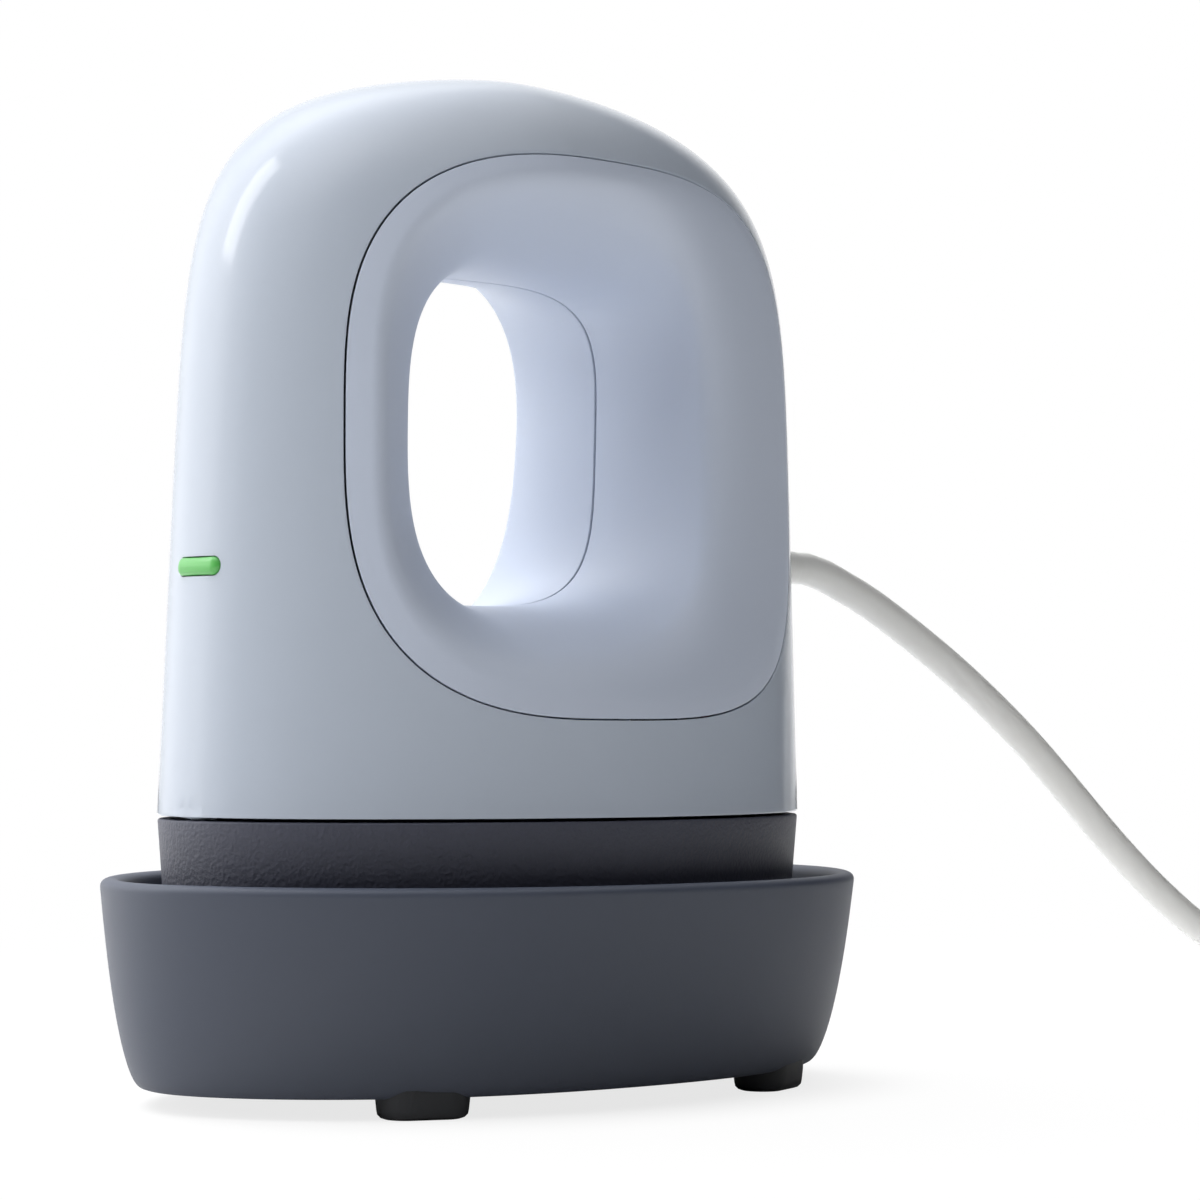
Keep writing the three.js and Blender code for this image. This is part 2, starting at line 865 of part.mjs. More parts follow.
function chassis() {
  const inset = shellWall + seatGap + spigotWall + seatGap;
  const floor = solid(loft([lowerRing(chassisUnderside, inset), lowerRing(chassisTop, inset)]));
  const posts = boardPosts(boardPostRadius, boardFloor - seatGap);
  const pegs = boardPosts(boardPegRadius, boardTop + boardPegProud);
  const tower = box(
    [towerX, -towerHalfWidth, chassisTop - 1],
    [towerX + towerThickness, towerHalfWidth, towerTop],
  );
  const legs = mirroredPair(
    [saddleX - saddleHalfLength, saddleLegY - saddleLegHalfWidth, chassisTop - 1],
    [saddleX + saddleHalfLength, saddleLegY + saddleLegHalfWidth, saddleTop],
  );
  const bridge = box(
    [saddleX - saddleHalfLength, -saddleLegY, saddleTop - reliefInnerRadius - saddleDepth],
    [saddleX + saddleHalfLength, saddleLegY, saddleTop],
  );
  const seat = rod(
    saddleX - saddleHalfLength - 1,
    saddleX + saddleHalfLength + 1,
    0,
    cordExitHeight,
    reliefInnerRadius + seatGap,
    14,
  );
  const pilots = [-saddleLegY, saddleLegY].map((y) =>
    post(saddleX, y, saddleTop - clampPilotDepth, saddleTop + 1, screwRadius + holeGap, 12),
  );
  const bossHoles = [-shellBossX, shellBossX].map((x) =>
    post(x, 0, chassisUnderside - 1, chassisTop + 1, screwRadius + holeGap, 12),
  );
  const added = [...posts, ...pegs, tower, ...legs, bridge].map(solid);
  const taken = [seat, ...pilots, ...bossHoles].map(solid);
  return geometryOf(
    cut(join(floor, ...added), ...taken, ...stackHoles(chassisUnderside - 1, chassisTop + 0.5)),
  );
}

function cordClamp() {
  const low = saddleTop + seatGap;
  const block = box(
    [saddleX - saddleHalfLength, -saddleLegY - saddleLegHalfWidth, low],
    [saddleX + saddleHalfLength, saddleLegY + saddleLegHalfWidth, clampTop],
  );
  const seat = rod(
    saddleX - saddleHalfLength - 1,
    saddleX + saddleHalfLength + 1,
    0,
    cordExitHeight,
    reliefInnerRadius + seatGap,
    14,
  );
  const holes = [-saddleLegY, saddleLegY].map((y) =>
    post(saddleX, y, low - 1, clampTop + 1, screwRadius + holeGap, 12),
  );
  return geometryOf(cut(solid(block), solid(seat), ...holes.map(solid)));
}

// A screw whose head rests at height 0 and whose shank goes down
function screw(length) {
  const body = turned(
    [
      [0, -length],
      [screwRadius, -length],
      [screwRadius, 0],
      [screwHeadRadius, 0],
      [screwHeadRadius, screwHeadHeight],
      [0, screwHeadHeight],
    ],
    10,
  );
  const half = slotWidth / 2;
  const reach = screwHeadRadius + 1;
  const floor = screwHeadHeight - slotDepth;
  const slot = box([-reach, -half, floor], [reach, half, screwHeadHeight + 1]);
  return geometryOf(cut(solid(body), solid(slot)));
}

// Shell: one hood with a window for each side panel
function shell() {
  const outerShares = [0, 0.2, 0.4, 0.58, 0.7, 0.8, 0.88, 0.935, 0.972, 0.99, 0.998, 0.9996];
  const innerShares = [0, 0.35, 0.62, 0.8, 0.9, 0.96, 0.99, 0.9995];
  const outer = bodySolid(0, outerShares, jointHeight);
  const inner = bodySolid(shellWall, innerShares, jointHeight - 2);
  const window = sideways(grown(crest, windowMargin));
  const recess = sideways(grown(border, panelGap)).subtract(
    bodySolid(panelSkin + panelBackGap, outerShares, jointHeight - 2),
  );
  const hood = cut(outer, inner, window, recess);
  const reach = bodyHalfLength - shellWall / 2;
  const bosses = [-1, 1].flatMap((end) => {
    const edge = end * reach;
    const centre = end * shellBossX;
    return [
      solid(post(centre, 0, chassisTop + seatGap, shellBossTop, shellBossRadius)),
      solid(
        box(
          [Math.min(edge, centre), -shellBossWebHalf, shellBossWebFloor],
          [Math.max(edge, centre), shellBossWebHalf, shellBossTop],
        ),
      ),
    ];
  });
  const bossHoles = [-shellBossX, shellBossX].map((x) =>
    solid(post(x, 0, chassisTop - 1, shellBossTop + 1, screwRadius + holeGap, 12)),
  );
  const cordHole = solid(
    rod(bodyHalfLength - 8, bodyHalfLength + 3, 0, cordExitHeight, reliefNeckRadius + seatGap, 20),
  );
  const buttonHole = solid(buttonPrism(-bodyHalfLength - 3, -bodyHalfLength + 8, slideGap));
  return geometryOf(cut(join(hood, ...bosses), ...bossHoles, cordHole, buttonHole));
}

// Button, and what it presses on
function buttonPrism(x0, x1, grow) {
  const radius = buttonHalfHeight + grow;
  const run = buttonHalfLength - buttonHalfHeight;
  const shape = new THREE.Shape();
  shape.absarc(run, 0, radius, -Math.PI / 2, Math.PI / 2, false);
  shape.absarc(-run, 0, radius, Math.PI / 2, (3 * Math.PI) / 2, false);
  const options = { depth: x1 - x0, bevelEnabled: false, curveSegments: 6 };
  const geometry = new THREE.ExtrudeGeometry(shape, options);
  geometry.rotateX(Math.PI / 2);
  geometry.rotateZ(Math.PI / 2);
  geometry.translate(x0, 0, buttonHeight);
  return geometry;
}

function bodyFront(y, height, inset) {
  const size = bodySize(height, inset);
  const across = Math.min(Math.abs(y) / size.side, 1);
  return size.ridge - size.front * (1 - across ** bodySidePower) ** (1 / bodyEndPower);
}

const noseX = bodyFront(0, buttonHeight, 0);
const buttonFlangeTop = buttonHeight + buttonHalfHeight + buttonFlange;
const buttonFlangeX =
  bodyFront(buttonHalfLength + buttonFlange, buttonFlangeTop, shellWall) + slideGap;
const buttonEndX = buttonFlangeX + buttonFlangeThickness + buttonStemLength;
const switchFaceX = buttonEndX + buttonTravel + switchGap;
const buttonBoardX = towerX - seatGap - boardThickness;
const switchBackX = buttonBoardX - seatGap;

function button() {
  const skin = bodySolid(-buttonProud, [0, 0.2, 0.4, 0.6], jointHeight);
  const cap = solid(buttonPrism(noseX - 3, buttonFlangeX + 0.2, 0)).intersect(skin);
  const flange = solid(
    buttonPrism(buttonFlangeX, buttonFlangeX + buttonFlangeThickness, buttonFlange),
  );
  const stem = solid(
    rod(buttonFlangeX, buttonEndX, 0, buttonHeight, buttonStemRadius, 12),
  );
  return geometryOf(join(cap, flange, stem));
}

function tactSwitch() {
  const face = switchFaceX + switchPlungerLength;
  const body = box(
    [face, -switchHalfSize, buttonHeight - switchHalfSize],
    [switchBackX, switchHalfSize, buttonHeight + switchHalfSize],
  );
  const plunger = rod(switchFaceX, face + 0.5, 0, buttonHeight, switchPlungerRadius, 12);
  return geometryOf(join(solid(body), solid(plunger)));
}

function statusLed() {
  const geometry = turned(
    [
      [0, 0],
      [ledFlangeRadius, 0],
      [ledFlangeRadius, ledFlangeThickness],
      [ledRadius, ledFlangeThickness],
      [ledRadius, ledLength - 0.7 * ledRadius],
      [0.64 * ledRadius, ledLength - 0.2 * ledRadius],
      [0, ledLength],
    ],
    8,
  );
  geometry.rotateY(-Math.PI / 2);
  geometry.translate(switchBackX, 0, buttonHeight + switchHalfSize + ledRise);
  return geometry;
}

// Boards
function controlBoard() {
  const board = box(
    [boardX - boardHalfLength, -boardHalfWidth, boardFloor],
    [boardX + boardHalfLength, boardHalfWidth, boardTop],
  );
  const holes = boardPosts(boardPegRadius + holeGap, boardTop + 2);
  return geometryOf(cut(solid(board), ...holes.map(solid)));
}

const partFloor = boardTop + seatGap;
const relayTop = partFloor + relayHeight;
const connectorTop = partFloor + connectorHeight;

function powerModule() {
  return box(
    [moduleX - moduleHalfLength, moduleY - moduleHalfWidth, partFloor],
    [moduleX + moduleHalfLength, moduleY + moduleHalfWidth, partFloor + moduleHeight],
  );
}

function relay() {
  return box(
    [relayX - relayHalfLength, relayY - relayHalfWidth, partFloor],
    [relayX + relayHalfLength, relayY + relayHalfWidth, relayTop],
  );
}

function leadConnector() {
  return box(
    [connectorX - connectorHalfLength, connectorY - connectorHalfWidth, partFloor],
    [connectorX + connectorHalfLength, connectorY + connectorHalfWidth, connectorTop],
  );
}

// Cord pieces
function strainRelief() {
  const wallX = rearFaceX;
  const inner = wallX - shellWall - reliefShoulderGap;
  const outer = wallX + seatGap;
  const profile = [
    [0, inner - reliefInnerLength],
    [reliefInnerRadius - reliefInnerChamfer, inner - reliefInnerLength],
    [reliefInnerRadius, inner - reliefInnerLength + reliefInnerChamfer],
    [reliefInnerRadius, inner],
    [reliefNeckRadius, inner],
    [reliefNeckRadius, outer],
    [reliefCollarRadius, outer],
    [reliefCollarRadius, outer + reliefCollarLength],
    [reliefTipRadius, outer + reliefOuterLength - reliefTipChamfer],
    [reliefTipRadius - reliefTipChamfer, outer + reliefOuterLength],
    [0, outer + reliefOuterLength],
  ];
  const geometry = turned(profile, 16);
  geometry.rotateY(Math.PI / 2);
  geometry.translate(0, 0, cordExitHeight);
  return geometry;
}

const rearSize = bodySize(cordExitHeight, 0);
const rearFaceX = rearSize.ridge + rearSize.rear;
const reliefTipX = rearFaceX + seatGap + reliefOuterLength;
const reliefInnerX = rearFaceX - shellWall - reliefShoulderGap - reliefInnerLength;

// The free stretch, from the strain relief down to the coil's first turn
const cordRoute = [
  [reliefTipX + seatGap, 0, cordExitHeight],
  [reliefTipX + 2.5, 0, cordExitHeight - 0.05],
  [57.0, 0, 63.9],
  [61.5, 0, 62.2],
  [65.9, 0, 60.4],
  [73.6, 0, 56.5],
  [81.5, 0, 52.1],
  [89.5, 0, 47.1],
  [97.7, 0, 41.4],
  [106.1, 0, 34.8],
  [114.6, 0, 28.0],
  [123.3, 0, 21.7],
  [132.2, 0, 16.2],
  [141.5, 0, 11.6],
  [151.0, 0, 7.9],
  [160.5, 0, 5.1],
  [169.5, 0, 3.7],
  [178.0, 0, 3.4],
  [185.4, 0, 3.4],
];

// Coil: layers spiral in and out, with a half turn between them that climbs one layer
const coilHalfSpan = (coilTurnsPerLayer * coilRadialPitch) / 2;
const coilTurns = coilLayers * coilTurnsPerLayer + (coilLayers - 1) * 0.5;
const coilFloor = coilRise + cordRadius;
const coilOuterRadius = coilMeanRadius + coilHalfSpan;
const coilY = -coilOuterRadius;

function coilPlace(turn) {
  let left = turn;
  for (let layer = 0; layer < coilLayers; layer++) {
    const sign = layer % 2 === 0 ? -1 : 1;
    if (left <= coilTurnsPerLayer || layer === coilLayers - 1) {
      const radius = coilMeanRadius - sign * (coilHalfSpan - coilRadialPitch * left);
      return [radius, layer * coilLayerPitch];
    }
    left -= coilTurnsPerLayer;
    if (left <= 0.5) {
      const w = left / 0.5;
      const radius = coilMeanRadius + sign * (coilHalfSpan + coilDip * Math.sin(Math.PI * w));
      return [radius, (layer + w * w * (3 - 2 * w)) * coilLayerPitch];
    }
    left -= 0.5;
  }
  return [coilMeanRadius, 0];
}

function coilPath() {
  const points = [[coilX - cordDiameter, coilY + coilOuterRadius, coilFloor]];
  const count = Math.round(coilTurns * coilSteps);
  for (let i = 0; i <= count; i++) {
    const turn = (i / count) * coilTurns;
    const [radius, height] = coilPlace(turn);
    const angle = Math.PI / 2 - turn * 2 * Math.PI;
    points.push([
      coilX + radius * Math.cos(angle),
      coilY + radius * Math.sin(angle),
      coilFloor + height,
    ]);
  }
  const [endX, endY, endZ] = points[points.length - 1];
  const tailSteps = 10;
  for (let i = 1; i <= tailSteps; i++) {
    const w = i / tailSteps;
    const drop = Math.max((w - coilTailLevel) / (1 - coilTailLevel), 0);
    const fall = drop * drop * (3 - 2 * drop);
    points.push([endX - w * coilTailLength, endY, endZ + (plugHeight - endZ) * fall]);
  }
  points.push([endX - coilTailLength - cordDiameter, endY, plugHeight]);
  return points.map((p) => new THREE.Vector3(...p));
}

function leastGap(points, diameter) {
  const near = 8;
  let least = Infinity;
  for (let i = 0; i < points.length; i++) {
    for (let j = i + near; j < points.length; j++) {
      least = Math.min(least, points[i].distanceTo(points[j]));
    }
  }
  return least - diameter;
}

// A closed tube of six sides along the points, with rings kept upright
function woundTube(points, radius) {
  const sides = 6;
  const up = new THREE.Vector3(0, 0, 1);
  const rings = points.map((point, i) => {
    const before = points[Math.max(i - 1, 0)];
    const after = points[Math.min(i + 1, points.length - 1)];
    const along = after.clone().sub(before).normalize();
    const across = new THREE.Vector3().crossVectors(up, along).normalize();
    const over = new THREE.Vector3().crossVectors(along, across);
    return angles(sides).map((angle) =>
      point
        .clone()
        .addScaledVector(across, radius * Math.cos(angle))
        .addScaledVector(over, radius * Math.sin(angle))
        .toArray(),
    );
  });
  return loft(rings);
}

function coilTie() {
  const clear = cordRadius + coilDip + 0.4;
  const low = coilMeanRadius - coilHalfSpan - clear;
  const high = coilMeanRadius + coilHalfSpan + clear;
  const top = coilFloor + (coilLayers - 1) * coilLayerPitch + cordRadius + seatGap;
  const outline = roundedOutline(low - tieThickness, high + tieThickness, 0, top + tieThickness, 3);
  const hole = roundedOutline(low, high, tieThickness, top, 2);
  outline.holes.push(hole);
  const options = { depth: tieWidth, bevelEnabled: false, curveSegments: 2 };
  const geometry = new THREE.ExtrudeGeometry(outline, options);
  geometry.rotateX(Math.PI / 2);
  geometry.translate(coilX, coilY + tieWidth / 2, 0);
  return geometry;
}

function roundedOutline(x0, x1, y0, y1, radius) {
  const shape = new THREE.Shape();
  shape.moveTo(x0 + radius, y0);
  shape.lineTo(x1 - radius, y0);
  shape.absarc(x1 - radius, y0 + radius, radius, -Math.PI / 2, 0, false);
  shape.lineTo(x1, y1 - radius);
  shape.absarc(x1 - radius, y1 - radius, radius, 0, Math.PI / 2, false);
  shape.lineTo(x0 + radius, y1);
  shape.absarc(x0 + radius, y1 - radius, radius, Math.PI / 2, Math.PI, false);
  shape.lineTo(x0, y0 + radius);
  shape.absarc(x0 + radius, y0 + radius, radius, Math.PI, 1.5 * Math.PI, false);
  return shape;
}

function freeCord() {
  const section = new THREE.Shape();
  const sides = 8;
  angles(sides).forEach((angle, i) => {
    const at = [cordRadius * Math.cos(angle), cordRadius * Math.sin(angle)];
    if (i === 0) section.moveTo(...at);
    else section.lineTo(...at);
  });
  section.closePath();
  const points = cordRoute.map((p) => new THREE.Vector3(...p));
  const path = new THREE.CatmullRomCurve3(points, false, "centripetal");
  return new THREE.ExtrudeGeometry(section, { steps: 16, extrudePath: path });
}

// The plug points along -X from the coil's tail
const coilTailX = coilX - coilTailLength - cordDiameter;
const coilTailY = coilY - coilOuterRadius;
const plugNeckX = coilTailX - seatGap;
const plugFaceX = plugNeckX - plugNeckLength - plugLength;

function plugBody() {
  const sections = [
    [0, plugNeckRadius - 0.5, plugNeckRadius - 0.5],
    [0.6, plugNeckRadius, plugNeckRadius],
    [plugNeckLength, plugNeckRadius + 1.2, plugNeckRadius + 0.8],
    [plugNeckLength + 3, plugHalfWidth * 0.82, plugHalfThickness * 0.86],
    [plugNeckLength + 8, plugHalfWidth * 0.96, plugHalfThickness * 0.97],
    [plugNeckLength + plugLength - 2, plugHalfWidth, plugHalfThickness],
    [plugNeckLength + plugLength - 0.6, plugHalfWidth * 0.98, plugHalfThickness * 0.97],
    [plugNeckLength + plugLength, plugHalfWidth * 0.9, plugHalfThickness * 0.88],
  ];
  const rings = sections.map(([along, halfWidth, halfThickness]) =>
    angles(20).map((angle) => {
      const [y, z] = superPoint(-angle, halfWidth, halfThickness, plugPower, plugPower);
      return [plugNeckX - along, coilTailY + y, plugHeight + z];
    }),
  );
  const body = solid(loft(rings));
  const slots = [-1, 1].map((side) =>
    solid(
      box(
        [
          plugFaceX - 1,
          coilTailY + (side * bladeSpacing) / 2 - bladeThickness / 2 - holeGap,
          plugHeight - bladeWidth / 2 - holeGap,
        ],
        [
          plugFaceX + bladeBite,
          coilTailY + (side * bladeSpacing) / 2 + bladeThickness / 2 + holeGap,
          plugHeight + bladeWidth / 2 + holeGap,
        ],
      ),
    ),
  );
  return geometryOf(cut(body, ...slots));
}

function plugBlade(side) {
  const tip = bladeTip;
  const rootX = plugFaceX + bladeBite - seatGap;
  const endX = plugFaceX - bladeLength;
  const shape = new THREE.Shape();
  shape.moveTo(rootX, -bladeWidth / 2);
  shape.lineTo(rootX, bladeWidth / 2);
  shape.lineTo(endX + tip, bladeWidth / 2);
  shape.lineTo(endX, bladeWidth / 2 - tip);
  shape.lineTo(endX, -bladeWidth / 2 + tip);
  shape.lineTo(endX + tip, -bladeWidth / 2);
  shape.closePath();
  const options = { depth: bladeThickness, bevelEnabled: false };
  const geometry = new THREE.ExtrudeGeometry(shape, options);
  geometry.rotateX(Math.PI / 2);
  geometry.translate(0, coilTailY + (side * bladeSpacing) / 2 + bladeThickness / 2, plugHeight);
  return geometry;
}

// Assembly
const press = new THREE.Group();
const base = new THREE.Group();
const cordSet = new THREE.Group();

base.add(mesh("base_tray", tray(), "tray"));
base.add(mesh("insulating_insert", insert(), "fibre"));
for (const [name, x, y, turn] of footPlaces) {
  const made = mesh(name, foot(), "foot");
  made.position.set(x, y, 0);
  made.rotation.z = turn;
  base.add(made);
}
[
  ["rest_pad_front_near", -restPadX, -restPadY],
  ["rest_pad_front_far", -restPadX, restPadY],
  ["rest_pad_rear_near", restPadX, -restPadY],
  ["rest_pad_rear_far", restPadX, restPadY],
].forEach(([name, x, y]) => {
  const made = mesh(name, restPad(), "silicone");
  made.position.set(x, y, 0);
  base.add(made);
});

press.add(mesh("heat_plate", heatPlate(), "aluminium"));
press.add(mesh("heater_element", heaterElement(), "steel"));
const sensorEnds = [-sensorLength / 2, sensorLength / 2];
press.add(mesh("temperature_sensor", rod(...sensorEnds, -sensorY, sensorZ, sensorRadius, 10), "brass"));
press.add(mesh("thermal_fuse", rod(...sensorEnds, sensorY, sensorZ, sensorRadius, 10), "fibre"));
press.add(mesh("insulation_pad", flatSheet(padFloor, padFloor + padThickness), "fibre"));
press.add(mesh("heat_shield", flatSheet(shieldFloor, shieldFloor + shieldThickness), "steel"));
press.add(mesh("heat_skirt", skirt(), "skirt"));
press.add(mesh("chassis", chassis(), "plastic"));
const plateScrewLength = chassisTop + seatGap - (plateTop - plateScrewBite);
plateScrewPlaces.forEach(([x, y], i) => {
  const made = mesh("plate_screw_" + (i + 1), screw(plateScrewLength), "steel");
  made.position.set(x, y, chassisTop + seatGap);
  press.add(made);
});
[
  ["shell_screw_front", -shellBossX],
  ["shell_screw_rear", shellBossX],
].forEach(([name, x]) => {
  const length = shellBossTop + seatGap - chassisUnderside + shellScrewRunOut;
  const made = mesh(name, screw(length), "steel");
  made.position.set(x, 0, shellBossTop + seatGap);
  press.add(made);
});
press.add(mesh("body_shell", shell(), "shell"));
const nearPanel = sidePanel();
press.add(mesh("side_panel_near", nearPanel, "panel"));
press.add(mesh("side_panel_far", mirrored(nearPanel), "panel"));
press.add(mesh("control_board", controlBoard(), "board"));
press.add(mesh("power_module", powerModule(), "plastic"));
press.add(mesh("relay", relay(), "blue"));
press.add(mesh("lead_connector", leadConnector(), "fibre"));
const capacitor = post(
  capacitorX,
  capacitorY,
  partFloor,
  partFloor + capacitorHeight,
  capacitorRadius,
);
press.add(mesh("capacitor", capacitor, "plastic"));
press.add(
  mesh(
    "button_board",
    box(
      [buttonBoardX, -buttonBoardHalfWidth, buttonBoardFloor],
      [buttonBoardX + boardThickness, buttonBoardHalfWidth, buttonBoardTop],
    ),
    "board",
  ),
);
press.add(mesh("tact_switch", tactSwitch(), "plastic"));
press.add(mesh("status_led", statusLed(), "button"));
press.add(mesh("power_button", button(), "button"));
press.add(mesh("strain_relief", strainRelief(), "cord"));
press.add(mesh("cord_clamp", cordClamp(), "plastic"));
[
  ["clamp_screw_near", -saddleLegY],
  ["clamp_screw_far", saddleLegY],
].forEach(([name, y]) => {
  const made = mesh(name, screw(clampTop - saddleTop + seatGap + clampScrewBite), "steel");
  made.position.set(saddleX, y, clampTop + seatGap);
  press.add(made);
});

// Leads: each runs between the two pieces it joins, with the usual gap at its ends
[
  ["live_lead", -conductorY, connectorY - pinSpread, "red"],
  ["neutral_lead", conductorY, connectorY + pinSpread, "blue"],
].forEach(([name, y, landing, finish]) => {
  const pinX = connectorX - pinSetback;
  const route = [
    [reliefInnerX - seatGap, y, cordExitHeight],
    [reliefInnerX - 0.5 * leadBend, y, cordExitHeight - 0.13 * leadBend],
    [reliefInnerX - leadBend, y, cordExitHeight - leadBend],
    [reliefInnerX - 1.25 * leadBend, (y + landing) / 2, connectorTop + leadBend],
    [pinX + leadGap, landing, connectorTop + leadStand],
    [pinX, landing, connectorTop + leadGap],
  ];
  press.add(mesh(name, pipe(route, leadRadius, 10), finish));
});
const heaterPinY = connectorY + connectorHalfWidth - leadGap;
[
  ["heater_lead_near", -1, relayY, relayTop, relayX + relayHalfLength / 2],
  ["heater_lead_far", 1, heaterPinY, connectorTop, connectorX + pinSetback],
].forEach(([name, side, landing, floor, x]) => {
  const terminalTop = elementZ + elementEndRise;
  const route = [
    [elementEndX, side * elementLegY, terminalTop + seatGap],
    [elementEndX, side * elementLegY, terminalTop + heaterLeadArch],
    [elementEndX - heaterLeadSlack, side * (elementLegY - leadRadius), floor + heaterLeadSlack],
    [x + leadRadius, landing, floor + leadStand],
    [x, landing, floor + leadGap],
  ];
  press.add(mesh(name, pipe(route, leadRadius, 10), "red"));
});
press.add(
  mesh(
    "sensor_lead",
    pipe(
      [
        [sensorLength / 2 + seatGap, -sensorY, sensorZ],
        [sensorLeadX - sensorRadius, -sensorY, sensorZ + sensorRadius / 4],
        [sensorLeadX, -sensorY, sensorZ + sensorLeadBend],
        [sensorLeadX, -sensorY, chassisTop],
        [sensorLeadX, -sensorY, boardFloor - seatGap],
      ],
      sensorLeadRadius,
      10,
    ),
    "fibre",
  ),
);
const buttonLeadX = buttonBoardX - seatGap - leadRadius;
const buttonPinX = boardX - boardHalfLength + buttonLeadLandingX;
press.add(
  mesh(
    "button_lead",
    pipe(
      [
        [buttonLeadX, buttonLeadY, buttonBoardFloor + buttonLeadOverlap],
        [buttonLeadX, buttonLeadY, buttonBoardFloor - buttonLeadSag],
        [buttonBoardX + leadRadius, 0.8 * buttonLeadLandingY, boardTop + leadBend],
        [buttonPinX - leadGap, buttonLeadLandingY, boardTop + leadStand],
        [buttonPinX, buttonLeadLandingY, boardTop + leadGap],
      ],
      leadRadius,
      10,
    ),
    "fibre",
  ),
);

const coilPoints = coilPath();
const coilGap = leastGap(coilPoints, cordDiameter);
console.log("coil: least gap to itself " + coilGap.toFixed(2) + " mm over " + coilTurns + " turns");
cordSet.add(mesh("cord_tube", freeCord(), "cord"));
cordSet.add(mesh("cord_coil", woundTube(coilPoints, cordRadius), "cord"));
cordSet.add(mesh("cord_tie", coilTie(), "plastic"));
cordSet.add(mesh("plug_body", plugBody(), "cord"));
cordSet.add(mesh("plug_blade_near", plugBlade(-1), "brass"));
cordSet.add(mesh("plug_blade_far", plugBlade(1), "brass"));

const heatPress = new THREE.Group();
heatPress.add(base, press, cordSet);

export default heatPress;
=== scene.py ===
# %% [markdown]
# # A small heat press in its resting tray
# The object is an upright press with a handle hole, a heated plate under a charcoal skirt,
# and a slate tray that it rests in while hot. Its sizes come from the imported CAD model, and
# this lesson dresses that model: smooth surfaces, moulded edges, finishes, lights and camera.
# Lengths are written in millimetres, as on a drawing, and turned into metres for Blender.

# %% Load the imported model
import math

import bpy
import bmesh
from mathutils import Matrix, Vector


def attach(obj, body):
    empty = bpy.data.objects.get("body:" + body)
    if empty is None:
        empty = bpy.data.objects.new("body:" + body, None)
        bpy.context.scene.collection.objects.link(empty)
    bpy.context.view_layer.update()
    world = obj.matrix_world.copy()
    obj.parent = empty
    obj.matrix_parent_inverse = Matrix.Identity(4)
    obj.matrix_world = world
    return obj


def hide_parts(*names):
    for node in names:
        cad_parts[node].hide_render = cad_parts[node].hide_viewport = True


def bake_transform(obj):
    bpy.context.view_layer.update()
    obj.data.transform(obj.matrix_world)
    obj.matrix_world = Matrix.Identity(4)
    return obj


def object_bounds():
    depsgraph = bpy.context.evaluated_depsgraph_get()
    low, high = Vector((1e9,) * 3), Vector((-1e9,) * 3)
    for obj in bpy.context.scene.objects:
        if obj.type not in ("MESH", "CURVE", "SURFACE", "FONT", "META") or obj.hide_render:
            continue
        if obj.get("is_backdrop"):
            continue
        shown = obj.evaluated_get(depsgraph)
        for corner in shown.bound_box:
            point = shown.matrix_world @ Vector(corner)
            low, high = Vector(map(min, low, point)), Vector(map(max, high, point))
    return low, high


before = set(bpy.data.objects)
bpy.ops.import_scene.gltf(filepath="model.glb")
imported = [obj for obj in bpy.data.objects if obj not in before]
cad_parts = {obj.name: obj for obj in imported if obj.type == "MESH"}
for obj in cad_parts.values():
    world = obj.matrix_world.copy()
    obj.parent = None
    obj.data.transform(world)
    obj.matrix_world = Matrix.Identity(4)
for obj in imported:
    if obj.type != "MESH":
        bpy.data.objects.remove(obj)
cad_low, cad_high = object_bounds()
MM = 0.001
print("CAD box in mm:", [round(v / MM, 1) for v in (*cad_low, *cad_high)])

# %% [markdown]
# ## Camera
# The photographer stood at the near front corner, about half a metre away, with the lens
# at a third of the object's height. Perspective is strong at that distance, so the place
# of the lens matters more than its length. A matrix of right, up and back sets the turn.

# %% Camera
lens_place = Vector((-293.822, -350.093, 44.694)) * MM
look = Vector((0.66451511, 0.74659248, 0.03192692))
lens_right = Vector((0.74687174, -0.66495333, 0.00443503))
lens_up = lens_right.cross(look)
camera_data = bpy.data.cameras.new("camera")
camera_data.sensor_width = 36.0
camera_data.lens = 112.85
camera_data.clip_start = 0.01
camera_data.clip_end = 20
camera = bpy.data.objects.new("camera", camera_data)
turn = Matrix((lens_right, lens_up, -look)).transposed()
camera.matrix_world = Matrix.Translation(lens_place) @ turn.to_4x4()
bpy.context.collection.objects.link(camera)
bpy.context.scene.camera = camera
print("camera looks from", tuple(round(v, 3) for v in lens_place))

# %% [markdown]
# ## Nodes in few words
# Materials, the world and the geometry below all use node trees. One helper feeds a
# node's inputs from sockets or with values, and another makes a node and feeds it, so
# that a tree reads as a list of what feeds what.

# %% Node helpers
def feed(tree, node, inputs):
    """Feeds each input, given by name or number, from a socket or with a value."""
    for key, value in inputs.items():
        if isinstance(value, bpy.types.NodeSocket):
            tree.links.new(value, node.inputs[key])
        else:
            node.inputs[key].default_value = value


def add_node(tree, kind, inputs=None, **properties):
    node = tree.nodes.new(kind)
    for name, value in properties.items():
        setattr(node, name, value)
    feed(tree, node, inputs or {})
    return node


def output_of(tree, kind, output, *inputs, **properties):
    """One output of a new node."""
    return add_node(tree, kind, *inputs, **properties).outputs[output]


def calculate(tree, operation, *values):
    """The result of a Math node whose values are sockets or numbers."""
    inputs = dict(enumerate(values))
    return output_of(tree, "ShaderNodeMath", "Value", inputs, operation=operation)


def map_range(tree, value, start, stop, low, high, **properties):
    """Runs from low to high while the value runs from start to stop."""
    ends = {"Value": value, "From Min": start, "From Max": stop, "To Min": low, "To Max": high}
    return output_of(tree, "ShaderNodeMapRange", "Result", ends, **properties)


